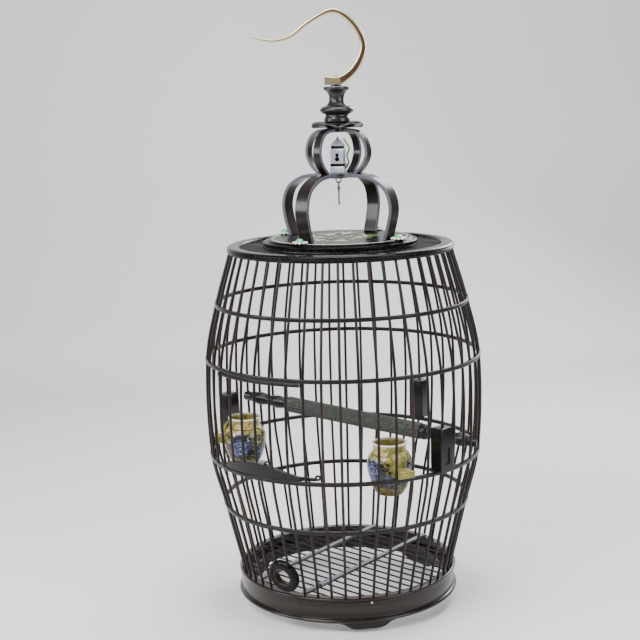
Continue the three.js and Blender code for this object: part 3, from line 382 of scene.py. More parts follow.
    def block(self, size: Sequence[float], bevel: float, place: Matrix, tone: float = 0.5) -> "Skin":
        """Adds a box with rounded edges, standing on its own origin.

        Args:
            size: Width, depth and height.
            bevel: Radius of the edges.
            place: Where the box goes.
            tone: The tone of these vertices.

        Returns:
            This skin.
        """
        width, depth, height = size
        turns = [math.pi / 2 * k / EDGE_STEPS for k in range(EDGE_STEPS + 1)]
        levels = [(bevel * (1 - math.cos(a)), bevel * (1 - math.sin(a))) for a in turns]
        levels += [(height - z, inset) for z, inset in reversed(levels)]
        sections = [
            carried(bar_section(width - 2 * inset, depth - 2 * inset, bevel, EDGE_STEPS), z, place)
            for z, inset in levels
        ]
        weights = bar_section(width, depth, bevel, EDGE_STEPS)[:, 2]
        ends = np.repeat([1.0, 0.0, 1.0], [EDGE_STEPS, 2, EDGE_STEPS])[:, None]
        return self.loft(np.array(sections), np.maximum(weights, ends), tone=tone)

    def build(
        self,
        name: str,
        material: bpy.types.Material,
        slot: str,
        *nodes: str,
        body: Body = Body.FRAME,
        crease: float = 38,
    ) -> bpy.types.Object:
        """Makes the mesh object and sets it to ride on its body.

        Args:
            name: The object's name.
            material: Its finish.
            slot: The record's material slot; not used.
            nodes: CAD nodes that it is shown in place of.
            body: The CAD body that it moves with.
            crease: Faces that meet at more than this angle, in degrees, have a sharp edge.

        Returns:
            The object.
        """
        mesh = bpy.data.meshes.new(name)
        mesh.from_pydata((np.array(self.points) * MM).tolist(), [], self.faces)
        layer = mesh.uv_layers.new(name="grain")
        layer.data.foreach_set("uv", np.array(self.uvs, np.float32).reshape(-1))
        for title, values in (("tone", self.tone), ("edge", self.edge)):
            attribute = mesh.attributes.new(title, "FLOAT", "POINT")
            attribute.data.foreach_set("value", np.array(values, np.float32))
        mesh.update()
        mesh.validate()
        mesh.shade_smooth()
        mesh.set_sharp_from_angle(angle=math.radians(crease))
        mesh.materials.append(material)
        made = link(name, mesh)
        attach(made, body.value)
        if nodes:
            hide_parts(*nodes)
        log.info("%s: %d vertices on %s", name, len(mesh.vertices), body.value)
        return made


# Shader sums


class Wire:
    """A node's output that can be added, multiplied and compared."""

    def __init__(self, paint: "Paint", socket: bpy.types.NodeSocket) -> None:
        """Wraps an output socket of a paint's node tree."""
        self.paint = paint
        self.socket = socket

    def sum_with(self, operation: str, *values: "Wire | float", clamp: bool = False) -> "Wire":
        """A maths node with these inputs.

        Args:
            operation: What the node works out.
            values: Its inputs, in order.
            clamp: Whether the result is held between 0 and 1.

        Returns:
            The result.
        """
        settings = {"operation": operation, "use_clamp": clamp}
        node = self.paint.node("ShaderNodeMath", settings, dict(enumerate(values)))
        return Wire(self.paint, node.outputs[0])

    def __add__(self, other: "Wire | float") -> "Wire":
        """The sum."""
        return self.sum_with("ADD", self, other)

    __radd__ = __add__

    def __sub__(self, other: "Wire | float") -> "Wire":
        """The difference."""
        return self.sum_with("SUBTRACT", self, other)

    def __rsub__(self, other: "Wire | float") -> "Wire":
        """The difference from a number."""
        return self.sum_with("SUBTRACT", other, self)

    def __mul__(self, other: "Wire | float") -> "Wire":
        """The product."""
        return self.sum_with("MULTIPLY", self, other)

    __rmul__ = __mul__

    def __pow__(self, other: "Wire | float") -> "Wire":
        """The power."""
        return self.sum_with("POWER", self, other)

    def __abs__(self) -> "Wire":
        """The size without its sign."""
        return self.sum_with("ABSOLUTE", self)

    def sine(self) -> "Wire":
        """The sine, in radians."""
        return self.sum_with("SINE", self)

    def modulo(self, length: float) -> "Wire":
        """The remainder, never below zero."""
        return self.sum_with("FLOORED_MODULO", self, length)

    def turn_to(self, other: "Wire | float") -> "Wire":
        """The angle of the vector whose y is this and whose x is the other."""
        return self.sum_with("ARCTAN2", self, other)

    def clamped(self) -> "Wire":
        """Held between 0 and 1."""
        return self.sum_with("ADD", self, 0.0, clamp=True)

    def step(self, low: float, high: float) -> "Wire":
        """A smooth step. High may be below low.

        Args:
            low: Where the step begins.
            high: Where it ends.

        Returns:
            0 before the step, 1 after it.
        """
        node = self.paint.node(
            "ShaderNodeMapRange",
            {"interpolation_type": "SMOOTHSTEP"},
            {"Value": self, "From Min": low, "From Max": high, "To Min": 0.0, "To Max": 1.0},
        )
        return Wire(self.paint, node.outputs["Result"])


Colour = tuple[float, float, float, float]


def colour(code: str) -> Colour:
    """A linear colour.

    Args:
        code: A six-figure screen colour.

    Returns:
        Red, green, blue and an opacity of 1.
    """
    parts = [int(code[i : i + 2], 16) / 255 for i in (0, 2, 4)]
    red, green, blue = (p / 12.92 if p <= 0.04045 else ((p + 0.055) / 1.055) ** 2.4 for p in parts)
    return red, green, blue, 1.0


class Paint:
    """One procedural material in the making."""

    def __init__(self, name: str) -> None:
        """Starts a material with a principled surface.

        Args:
            name: The material's name.
        """
        self.material = bpy.data.materials.new(name)
        self.material.use_nodes = True
        self.tree = self.material.node_tree
        self.tree.nodes.clear()
        self.surface = self.node("ShaderNodeBsdfPrincipled")
        output = self.node("ShaderNodeOutputMaterial")
        self.tree.links.new(self.surface.outputs[0], output.inputs[0])

    def node(self, kind: str, settings: dict | None = None, inputs: dict | None = None) -> bpy.types.Node:
        """Adds a node.

        Args:
            kind: The node's type name.
            settings: Properties to set.
            inputs: Input values or wires, by name or number.

        Returns:
            The node.
        """
        made = self.tree.nodes.new(kind)
        for key, value in (settings or {}).items():
            setattr(made, key, value)
        for key, value in (inputs or {}).items():
            if isinstance(value, Wire):
                self.tree.links.new(value.socket, made.inputs[key])
            else:
                made.inputs[key].default_value = value
        return made

    def attribute(self, name: str) -> Wire:
        """A number stored on the mesh."""
        return Wire(self, self.node("ShaderNodeAttribute", {"attribute_name": name}).outputs["Fac"])

    def grain(self) -> tuple[Wire, Wire]:
        """Where a point lies on its piece's surface.

        Returns:
            Lengths along and across the piece, in millimetres.
        """
        uv = self.node("ShaderNodeUVMap", {"uv_map": "grain"})
        split = self.node("ShaderNodeSeparateXYZ", inputs={0: Wire(self, uv.outputs[0])})
        return Wire(self, split.outputs[0]), Wire(self, split.outputs[1])

    def place(self) -> tuple[Wire, Wire, Wire]:
        """Where a point lies in the object's own space.

        Returns:
            Its x, y and z, in millimetres.
        """
        spot = self.node("ShaderNodeTexCoord")
        split = self.node("ShaderNodeSeparateXYZ", inputs={0: Wire(self, spot.outputs["Object"])})
        return tuple(Wire(self, split.outputs[k]) * 1000.0 for k in range(3))

    def vector(self, x: Wire | float, y: Wire | float, z: Wire | float) -> Wire:
        """Three numbers as a vector."""
        return Wire(self, self.node("ShaderNodeCombineXYZ", inputs={0: x, 1: y, 2: z}).outputs[0])

    def noise(self, where: Wire, scale: float = 1.0, detail: float = 3.0, warp: float = 0.0) -> Wire:
        """Smooth noise from 0 to 1."""
        inputs = {"Vector": where, "Scale": scale, "Detail": detail, "Distortion": warp}
        return Wire(self, self.node("ShaderNodeTexNoise", inputs=inputs).outputs[0])

    def cells(self, where: Wire, scale: float, kind: Cells = Cells.NEAREST) -> Wire:
        """Distance to the nearest of scattered points, or to a cell's border."""
        node = self.node("ShaderNodeTexVoronoi", {"feature": kind.value}, {"Vector": where, "Scale": scale})
        return Wire(self, node.outputs["Distance"])

    def blend(self, share: Wire | float, low: Wire | str, high: Wire | str) -> Wire:
        """A colour between two.

        Args:
            share: How much of the second colour there is.
            low: The first, as a wire or as a six-figure screen colour.
            high: The second.

        Returns:
            The colour.
        """
        low, high = (colour(tint) if isinstance(tint, str) else tint for tint in (low, high))
        settings = {"data_type": "RGBA", "clamp_factor": True}
        return Wire(self, self.node("ShaderNodeMix", settings, {"Factor": share, 6: low, 7: high}).outputs[2])

    def bump(self, height: Wire, distance_mm: float, strength: float = 1.0) -> Wire:
        """A normal from a height."""
        inputs = {"Height": height, "Distance": distance_mm * MM, "Strength": strength}
        return Wire(self, self.node("ShaderNodeBump", inputs=inputs).outputs[0])

    def finish(self, **inputs: Wire | float | Colour) -> bpy.types.Material:
        """Sets the surface's inputs.

        Args:
            inputs: Values or wires, each named as its input is, with underscores for spaces.

        Returns:
            The finished material.
        """
        for key, value in inputs.items():
            socket = self.surface.inputs[key.replace("_", " ")]
            if isinstance(value, Wire):
                self.tree.links.new(value.socket, socket)
            else:
                socket.default_value = value
        return self.material


# Finishes


@dataclass(frozen=True)
class Wood:
    """Stained hardwood or bamboo with a rubbed coat.

    Attributes:
        name: The material's name.
        dark: Colour of the pores.
        mid: Main colour.
        light: Colour of the pale streaks.
        edge_tint: Colour laid on the edges: rubbed wear on most pieces; on the crown, a painted highlight on
            the strips' narrow faces and rounded edges.
        rough: Roughness of the sound surface.
        coat: Weight of the clear coat.
        edge_share: How much of the edges takes the edge tint, from 0 to 1.
        even: How evenly the edge tint is laid, from 0 to 1.
        streak: Length of a streak over its width.
        shine: Strength of the bare surface's reflection.
    """

    name: str
    dark: str
    mid: str
    light: str
    edge_tint: str
    rough: float = 0.34
    coat: float = 0.35
    edge_share: float = 0.5
    even: float = 0.0
    streak: float = 22.0
    shine: float = 0.22

    def make(self) -> bpy.types.Material:
        """Builds the material.

        Returns:
            The material.
        """
        p = Paint(self.name)
        along, across = p.grain()
        tone, edge = p.attribute("tone"), p.attribute("edge")
        where = p.vector(along * (1 / self.streak), across, tone * 91.0)
        fibre = p.noise(where, 1.1, 4.0, 0.6)
        pores = p.noise(where, 3.4, 2.0).step(0.62, 0.74)
        broad = p.noise(p.vector(along * 0.012, across * 0.11, tone * 37.0), 1.0, 2.0)
        share = (fibre * 0.55 + broad * 0.3 + tone * 0.5 - 0.18).clamped()
        body = p.blend(share, self.dark, self.mid)
        body = p.blend(share.step(0.55, 0.95) * 0.8, body, self.light)
        body = p.blend(pores * 0.6, body, self.dark)
        scuff = p.noise(p.vector(along * 0.2, across * 0.4, tone * 11.0), 1.0, 4.0)
        patchy = scuff.step(0.66 - 0.3 * self.edge_share, 0.8 - 0.3 * self.edge_share)
        # Share of the edge tint: rubbed wear on most woods; on the crown, where it is laid almost fully and
        # evenly, it is a painted highlight.
        rubbed = edge * (patchy * (1.0 - self.even) + self.even) * self.edge_share
        body = p.blend(rubbed, body, self.edge_tint)
        film = p.noise(p.vector(along * 0.05, across * 0.08, tone * 5.0), 1.0, 3.0)
        rough = self.rough + film * 0.16 - 0.08 + pores * 0.1 + rubbed * 0.14
        lines = fibre * 0.5 - pores * 0.8
        return p.finish(
            Base_Color=body,
            Roughness=rough,
            Specular_IOR_Level=self.shine,
            Coat_Weight=self.coat * (1.0 - rubbed * 0.8),
            Coat_Roughness=0.16,
            Coat_IOR=COAT_INDEX,
            Normal=p.bump(lines, 0.05, 0.4),
        )


@dataclass(frozen=True)
class Lacquer:
    """Deep lacquer over wood, with dust, fine scratches and rubbed edges."""

    name: str
    body: str
    rubbed: str
    rough: float = 0.14
    edge_share: float = 0.5
    coat: float = 0.5
    shine: float = 0.2

    def make(self) -> bpy.types.Material:
        """Builds the material.

        Returns:
            The material.
        """
        p = Paint(self.name)
        x, y, z = p.place()
        edge = p.attribute("edge")
        spot = p.vector(x, y, z)
        cloud = p.noise(spot, 0.035, 4.0)
        dust = p.noise(spot, 0.9, 5.0).step(0.5, 0.78)
        scratch = p.noise(p.vector(x * 0.12 + y * 0.05, y * 1.8 - x * 0.7, z), 1.0, 2.0).step(0.69, 0.74)
        scuff = p.noise(spot, 0.3, 4.0)
        rub = edge * scuff.step(0.62 - 0.2 * self.edge_share, 0.74 - 0.2 * self.edge_share) * self.edge_share
        tint = p.blend(rub, self.body, self.rubbed)
        tint = p.blend(dust * 0.05, tint, "8C8A88")
        rough = self.rough + cloud * 0.1 + dust * 0.1 + scratch * 0.14 + rub * 0.2
        ripple = p.noise(spot, 0.11, 2.0)
        return p.finish(
            Base_Color=tint,
            Roughness=rough,
            Specular_IOR_Level=self.shine,
            Coat_Weight=self.coat * (1.0 - rub * 0.75),
            Coat_Roughness=0.1,
            Coat_IOR=COAT_INDEX,
            Normal=p.bump(ripple - scratch * 0.04, 0.12, 0.35),
        )


@dataclass(frozen=True)
class Metal:
    """Worn metal: bright where it is rubbed, tarnished where it isn't."""

    name: str
    bright: str
    dull: str
    stain: str
    rough: float = 0.3
    hammered: float = 0.0
    age: float = 0.0
    body: float = 1.0

    def make(self) -> bpy.types.Material:
        """Builds the material. A tone near 0, which the hook gives its root, keeps the metal bright there.

        Returns:
            The material.
        """
        p = Paint(self.name)
        x, y, z = p.place()
        edge, tone = p.attribute("edge"), p.attribute("tone")
        spot = p.vector(x, y, z)
        patch = p.noise(spot, 0.09, 4.0, 0.4)
        fine = p.noise(spot, 0.8, 5.0)
        kept = tone.step(0.13, 0.02) * 0.7 + edge * 0.6
        tarnish = (patch * 0.7 + fine * 0.5 - kept + self.age).step(0.42, 0.82)
        pits = p.noise(spot, 1.9, 2.0).step(0.68, 0.8)
        tint = p.blend(tarnish, self.bright, self.dull)
        tint = p.blend(pits * 0.6 + tarnish * patch.step(0.5, 0.7) * 0.4, tint, self.stain)
        drag = p.noise(p.vector(x * 0.25, y * 3.0, z * 0.25), 1.0, 2.0)
        dent = p.cells(spot, 0.23, Cells.SOFT)
        height = drag * 0.2 + fine * 0.3 - pits * 0.6 + dent * self.hammered
        return p.finish(
            Base_Color=tint,
            Metallic=(1.0 - tarnish * 0.25 - pits * 0.3) * self.body,
            Roughness=self.rough + tarnish * 0.22 + fine * 0.1 - 0.05,
            Normal=p.bump(height, 0.25, 0.5),
        )


@dataclass(frozen=True)
class Glaze:
    """Straw-yellow glaze over stoneware with blue and violet flowers, for a cup.

    Attributes:
        name: The material's name.
        girth: Length round the belly, in millimetres.
        height: Height of the jar, in millimetres.
        flowers: How many flowers go round the belly.
        facing: Where round the belly one of the flowers is, as a share of a turn.
        middle: Height of the flowers' middles above the foot, in millimetres.
    """

    name: str
    girth: float
    height: float
    flowers: int
    facing: float
    middle: float = 28.0

    def make(self) -> bpy.types.Material:
        """Builds the material.

        Returns:
            The material.
        """
        p = Paint(self.name)
        turn, high, inner, panel = (p.attribute(name) for name in ("turn", "high", "inner", "panel"))
        spot = p.vector(*p.place())
        mottle, speck = p.noise(spot, 0.13, 4.0), p.noise(spot, 0.9, 3.0)
        glaze = self.ground(p, spot, mottle, speck, high, panel)
        pitch = self.girth / self.flowers
        run = (turn + (0.5 / self.flowers - self.facing + 1.0)) * self.girth
        across = run.modulo(pitch) - pitch / 2
        beside = (run + pitch / 2).modulo(pitch) - pitch / 2
        up = high * self.height - self.middle
        flat = p.vector(run, up, 3.0)
        warp = p.noise(flat, 0.3, 2.0) * 2.0 - 1.0
        outside, bare = 1.0 - inner, 1.0 - panel
        mask = (high.step(0.13, 0.2) * high.step(0.76, 0.68) * outside * bare).clamped()
        halo = ((across * across + (up - 5.0) * (up - 5.0)) ** 0.5 + warp * 6.0).step(20.0, 12.0)
        glaze = p.blend(halo * mask * 0.6, glaze, "C0C6DE")
        glaze = self.foliage(p, glaze, flat, warp, halo, mask)
        glaze = self.flower(p, glaze, flat, beside, up + 7.0, warp, mask, 8.0)
        glaze = self.flower(p, glaze, flat, across, up, warp, mask, 13.0)
        squiggle = abs(p.noise(p.vector(run, up * 1.6, 17.0), 0.2, 1.0, 0.8) - 0.5).step(0.04, 0.018)
        low = high.step(0.03, 0.07) * high.step(0.3, 0.22)
        lines = (squiggle * low + abs(high - 0.06).step(0.012, 0.006)).clamped() * outside
        bend = high + warp * 0.012
        shoulder = abs(bend - 0.79).step(0.011, 0.006) * bare * outside
        lines = (lines + shoulder).clamped()
        glaze = p.blend(lines * 0.9, glaze, "3A240E")
        crackle = p.cells(spot, 0.3, Cells.BORDER).step(0.03, 0.0)
        glaze = p.blend(crackle * 0.2, glaze, "6E5426")
        glaze = p.blend(inner * 0.75, glaze, "5A4A20")
        return p.finish(
            Base_Color=glaze,
            Roughness=0.16 + speck * 0.14,
            Specular_IOR_Level=0.3,
            Coat_Weight=0.4,
            Coat_Roughness=0.05,
            Normal=p.bump(mottle * 0.8 + speck * 0.2 - crackle * 0.12 - lines * 0.2, 0.4, 0.6),
        )

    def ground(self, p: Paint, spot: Wire, mottle: Wire, speck: Wire, high: Wire, panel: Wire) -> Wire:
        """The unpainted glaze: cream above, golden below, olive on the panel and pale at the rim.

        Args:
            p: The material in the making.
            spot: The place on the jar.
            mottle: Broad noise.
            speck: Fine noise.
            high: Share of the jar's height.
            panel: 1 on the flat panel between ear and neck.

        Returns:
            The colour.
        """
        glaze = p.blend(mottle.step(0.38, 0.62), "6E6424", "A89A4C")
        patches = p.noise(spot, 0.2, 3.0).step(0.46, 0.62) * high.step(0.66, 0.8)
        gold = (high.step(0.34, 0.12) * 0.8 + mottle.step(0.6, 0.78) * 0.35).clamped()
        brown = p.noise(spot, 0.33, 4.0, 0.8).step(0.52, 0.62)
        flecks = p.noise(spot, 0.5, 3.0, 0.6).step(0.6, 0.66)
        olive = p.noise(spot, 0.07, 2.0).step(0.35, 0.65)
        for share, tint in (
            (patches * 0.5, "D8CE96"),
            (speck.step(0.58, 0.72) * 0.3, "DDD4A4"),
            (gold, "564A18"),
            (brown * high.step(0.45, 0.16) * 0.75, "3E2E0E"),
            (flecks * high.step(0.74, 0.8) * 0.8, "5A4420"),
            (panel * (olive * 0.5 + 0.4), "76702A"),
            (flecks * high.step(0.62, 0.56) * panel * 0.85, "4A3A16"),
            (high.step(0.95, 0.98) * 0.75, "F2ECD4"),
        ):
            glaze = p.blend(share, glaze, tint)
        return glaze

    def foliage(self, p: Paint, glaze: Wire, flat: Wire, warp: Wire, halo: Wire, mask: Wire) -> Wire:
        """Crowded dark leaves and small blooms that fill the belly between the flowers.

        Args:
            p: The material in the making.
            glaze: The colour so far.
            flat: The place on the belly, unrolled.
            warp: Noise that bends outlines.
            halo: 1 round a flower, where leaves are dark blue.
            mask: 1 where the jar is painted.

        Returns:
            The colour.
        """
        cell = p.cells(flat, 0.17)
        vein = p.cells(flat, 0.17, Cells.BORDER)
        leaf = (cell + warp * 0.22).step(0.62, 0.54) * vein.step(0.03, 0.07)
        hue = p.noise(flat, 0.075, 1.0)
        tint = p.blend(hue.step(0.44, 0.5), "0C120A", "201E0A")
        tint = p.blend(hue.step(0.53, 0.57), tint, "0C1234")
        tint = p.blend(halo, tint, "0C1030")
        tint = p.blend(p.noise(flat, 0.8, 2.0).step(0.6, 0.7) * 0.45, tint, "7C84A8")
        glaze = p.blend(leaf * mask * 0.92, glaze, tint)
        stems = abs(p.noise(flat, 0.12, 1.0, 1.4) - 0.5).step(0.03, 0.014)
        glaze = p.blend(stems * mask * 0.85, glaze, "261E12")
        dots = p.cells(flat, 0.42).step(0.2, 0.14)
        return p.blend(dots * mask * 0.8, glaze, "141B3C")

    def flower(
        self, p: Paint, glaze: Wire, flat: Wire, across: Wire, up: Wire, warp: Wire, mask: Wire, size: float
    ) -> Wire:
        """One full flower in each pitch: leaves behind uneven rows of dark petals with pale edges.

        Args:
            p: The material in the making.
            glaze: The colour so far.
            flat: The place on the belly, unrolled.
            across: Distance from the flower's middle round the belly, in millimetres.
            up: Height over its middle.
            warp: Noise that bends outlines.
            mask: 1 where the jar is painted.
            size: The flower's radius.

        Returns:
            The colour.
        """
        fine = p.noise(flat, 0.42, 2.0) * 2.0 - 1.0
        reach = ((across * across + up * up * 1.15) ** 0.5 + warp * 2.4 + fine * 0.9) * (12.0 / size)
        angle = up.turn_to(across) + warp * 0.8
        tips = abs((angle * 3.5).sine())
        leaf = (reach - tips * 6.5).step(13.0, 12.2)
        green = p.blend(p.noise(flat, 0.5, 2.0).step(0.42, 0.58), "080D10", "1A2816")
        glaze = p.blend(leaf * mask * 0.95, glaze, green)
        lobe = abs((angle * 2.5 + 0.6).sine()) * 2.6
        bloom = (reach - lobe).step(10.8, 10.2)
        rows = (reach * 1.5 + abs((angle * 3.0 + reach * 0.5).sine()) * 3.4 + fine * 2.8).sine()
        petal = p.blend(p.noise(flat, 0.35, 3.0).step(0.42, 0.58), "080A22", "1C2262")
        petal = p.blend(fine.step(0.1, 0.5) * 0.6, petal, "4A529C")
        petal = p.blend(rows.step(0.86, 1.0) * 0.85, petal, "A4ABD4")
        petal = p.blend(reach.step(1.4, 0.9), petal, "8C8AA8")
        glaze = p.blend(bloom * mask, glaze, petal)
        rim = abs(reach - lobe - 10.5).step(0.8, 0.4)
        return p.blend(rim * mask * 0.9, glaze, "151937")


@dataclass(frozen=True)
class Grit:
    """Sand glued on a sleeve."""

    name: str

    def make(self) -> bpy.types.Material:
        """Builds the material.

        Returns:
            The material.
        """
        p = Paint(self.name)
        spot = p.vector(*p.place())
        grains = p.cells(spot, 0.9)
        shade = p.noise(spot, 1.1, 4.0)
        cloud = p.noise(spot, 0.05, 3.0)
        tint = p.blend(shade.step(0.38, 0.62), "191A19", "4B4D49")
        tint = p.blend(grains.step(0.34, 0.2) * shade.step(0.46, 0.6), tint, "9A9D94")
        tint = p.blend(cloud.step(0.45, 0.75) * 0.35, tint, "30322E")
        return p.finish(
            Base_Color=tint,
            Roughness=0.86 + shade * 0.1,
            Normal=p.bump(shade * 0.5 - grains * 0.8, 0.7, 0.9),
        )


@dataclass(frozen=True)
class Stone:
    """Polished shell, stone or bead with soft clouds and light under the skin."""

    name: str
    low: str
    high: str
    vein: str
    glow: float = 0.15
    rough: float = 0.12
    scale: float = 0.3

    def make(self) -> bpy.types.Material:
        """Builds the material.

        Returns:
            The material.
        """
        p = Paint(self.name)
        spot = p.vector(*p.place())
        cloud = p.noise(spot, self.scale, 4.0, 0.8)
        lines = abs(p.noise(spot, self.scale * 1.7, 3.0) - 0.5).step(0.05, 0.0)
        tint = p.blend(cloud.step(0.3, 0.7), self.low, self.high)
        tint = p.blend(lines * 0.35, tint, self.vein)
        return p.finish(
            Base_Color=tint,
            Roughness=self.rough + cloud * 0.1,
            Subsurface_Weight=self.glow,
            Subsurface_Scale=0.002,
            Coat_Weight=0.6,
            Coat_Roughness=0.05,
            Normal=p.bump(cloud, 0.1, 0.3),
        )


class Palette:
    """Every finish, made once."""

    def __init__(self) -> None:
        """Builds all of the materials."""
        edge_tint = "54403A"
        self.bars = Wood("bar wood", "0D0807", "20120F", "382520", edge_tint, 0.36, 0.25, 0.3, streak=30).make()
        self.hoops = Wood("hoop wood", "0B0909", "181312", "2A2220", "5A5350", 0.34, 0.3, 0.35).make()
        self.base = Wood("base wood", "0E0908", "110B09", "160E0B", edge_tint, 0.22, 0.6, 0.25, 0.5, 60).make()
        self.block = Wood("block wood", "0A0909", "141212", "201C1B", "3A3532", 0.3, 0.35, 0.4).make()
        # The crown's pale lavender-grey edge tint is laid almost fully and evenly. It is a painted highlight
        # on the strips' narrow faces and rounded edges, not wear.
        crown = Wood("crown rosewood", "0F0A0A", "1D1413", "2C1E1A", "5A5863", 0.33, 0.4, 0.95, 0.7)
        self.rosewood = crown.make()
        self.grille = Wood("grille bamboo", "161314", "2B2729", "4A4549", "7C757B", 0.4, 0.2, 0.6).make()
        self.batten = Wood("batten wood", "33303A", "57545F", "7A7784", "A09DAA", 0.36, 0.3, 0.7, 0.4).make()
        self.lacquer = Lacquer("black lacquer", "070606", "4A3D38", 0.16, 0.4).make()
        self.table = Lacquer("board lacquer", "050505", "3E322E", 0.2, 0.3, 0.0, 0.06).make()
        self.rim = Lacquer("rim lacquer", "060505", "4A3D38", 0.17, 0.4, 0.12, 0.1).make()
        self.satin = Lacquer("perch lacquer", "0B0B0D", "3E3A38", 0.3, 0.25, 0.12, 0.35).make()
        self.gunmetal = Lacquer("finial lacquer", "17191C", "4A4C50", 0.27, 0.25, 0.2, 0.4).make()
        self.leaf = Lacquer("leaf lacquer", "0E0D0D", "5C5854", 0.24, 0.8, 0.2, 0.2).make()
        self.brass = Metal("aged brass", "DCC8A0", "4A3624", "20160E", 0.3, 1.4, 0.32).make()
        self.silver = Metal("pale metal", "C3CCD6", "8A929C", "3A3D42", 0.3, 0.1, -0.1, 0.35).make()
        self.steel = Metal("dark wire", "8E8984", "4C4844", "1E1B1A", 0.3, 0.0).make()
        self.pale_pin = Metal("pale pin", "E6E2D8", "B4AEA2", "6A645A", 0.3).make()
        self.grit = Grit("perch grit").make()
        self.shell = Stone("shell", "D2D2C4", "F4F4EE", "BFC8C0").make()
        self.jade = Stone("green bead", "17803C", "55CC80", "D2F6DC", 0.4, 0.07, 0.22).make()
        self.coral = Stone("coral inlay", "7A2E25", "B4604C", "E0A890").make()
        self.moss = Stone("green inlay", "2E5A2C", "6DA44C", "B8D08A").make()
        girth = 2 * math.pi * CUP_RADIUS
        self.glaze_right = Glaze("right cup glaze", girth, CUP_HEIGHT, 4, 0.605, 29.0).make()
        self.glaze_left = Glaze("left cup glaze", girth, CUP_HEIGHT, 3, 0.72, 27.0).make()


# The cage's own curve


@dataclass(frozen=True)
class Barrel:
    """Outline of the wall: heights of the hoops and radius of the bars' middle line at each.

    Attributes:
        count: How many bars there are.
        phase: Angle of the first bar, in degrees.
        bar: Radius of a bar.
        sides: How many sides a bar has.
        stretch: Length of a bar's straight stretches.
        stations: Height and radius, from the base ring to the top ring.
    """

    count: int = 50
    phase: float = 1.3
    bar: float = 1.7
    sides: int = 12
    stretch: float = 14.0
    stations: tuple[tuple[float, float], ...] = (
        (40.0, 133.33), (126.62, 153.69), (190.62, 168.84), (311.81, 170.2), (379.91, 156.0), (442.5, 137.69),
    )

    def azimuth(self, number: float) -> float:
        """Angle of a bar, in degrees."""
        return self.phase + 360 / self.count * number

    def radius(self, z: float) -> float:
        """Radius of the bars' middle line.

        Args:
            z: The height.

        Returns:
            The radius, on a smooth curve through the stations.
        """
        s = self.stations
        i = 0
        while i < len(s) - 2 and z > s[i + 1][0]:
            i += 1

        def slope(k: int) -> float:
            """The curve's slope at a station."""
            a, b = s[max(k - 1, 0)], s[min(k + 1, len(s) - 1)]
            return (b[1] - a[1]) / (b[0] - a[0])

        (z0, r0), (z1, r1) = s[i], s[i + 1]
        span = z1 - z0
        t = (z - z0) / span
        bend = t * (1 - t) ** 2 * span * slope(i) - t**2 * (1 - t) * span * slope(i + 1)
        return r0 + (r1 - r0) * t * t * (3 - 2 * t) + bend

    def at(self, number: float, z: float, off: float = 0.0) -> Array:
        """A point on a bar's middle line, or off it outwards."""
        return around(self.radius(z) + off, self.azimuth(number), z)

    def tone(self, number: int) -> float:
        """A number from 0 to 1 that differs from bar to bar."""
        return (math.sin(number * 12.9898) * 43758.5453) % 1.0


BARREL = Barrel()
HOOPS = tuple(z for z, _ in BARREL.stations[1:-1])
HOOP = 4.8  # a hoop's width and height


class Assembly:
    """A group of pieces that is built and dressed together."""

    def __init__(self, palette: Palette) -> None:
        """Keeps the palette for dressing."""
        self.palette = palette

    def build(self) -> None:
        """Makes the assembly's pieces."""
        raise NotImplementedError


def add_bar(skin: Skin, number: int, low: float, high: float) -> None:
    """Adds one round bar to a skin.

    Args:
        skin: What it is added to.
        number: Which bar it is, counted from the first.
        low: Height of its lower end.
        high: Height of its upper end.
    """
    steps = max(2, round((high - low) / BARREL.stretch))
    path = [BARREL.at(number, low + (high - low) * i / steps) for i in range(steps + 1)]
    across = around(1, BARREL.azimuth(number) + 90, 0)
    skin.sweep(np.array(path), disc_section(BARREL.bar, BARREL.sides), across, BARREL.tone(number))


@dataclass(frozen=True)
class WallSize:
    """Sizes of the wall, in millimetres."""

    base_top: float = 40.0
    top: float = 442.2
    door_bars: tuple[int, ...] = (30, 31, 32, 33, 34)
    port_bars: tuple[int, ...] = (32, 33)
    port_tops: tuple[float, ...] = (77.9, 77.8)


class Wall(Assembly):
    """The bars and the hoops that they are threaded through."""

    size = WallSize()

    def build(self) -> None:
        """Makes the bars, the cut bars over and under the doorway, and four hoops."""
        s = self.size
        bars = Skin()
        for number in range(BARREL.count):
            foot = s.base_top + SEAT
            if number in s.port_bars:
                foot = s.port_tops[s.port_bars.index(number)]
            if number in s.door_bars:
                add_bar(bars, number, foot, HOOPS[1])
                add_bar(bars, number, HOOPS[2], s.top)
            else:
                add_bar(bars, number, foot, s.top)
        bars.build("wall_bars", self.palette.bars, "bar_wood", "bar_wall")
        for i, z in enumerate(HOOPS, 1):
            shape = bar_section(HOOP, HOOP, 1.1) + np.array([BARREL.radius(z), z, 0])
            hoop = Skin().ring(shape, 200, 0.3 + 0.1 * i)
            hoop.build(f"hoop_{i}", self.palette.hoops, "bar_wood")


@dataclass(frozen=True)
class BaseSize:
    """Sizes of the base, in millimetres and degrees."""

    foot: float = 9.0
    top: float = 40.0
    radius: float = 138.03
    wall: float = 10.0
    ledge: float = 28.0
    pin_angle: float = -79.2
    pin_height: float = 33.4
    ledge_width: float = 7.0
    foot_angles: tuple[float, ...] = (-81.0, 39.0, 159.0)
    foot_half: float = 14.3
    foot_outer: float = 136.0
    foot_thick: float = 8.0


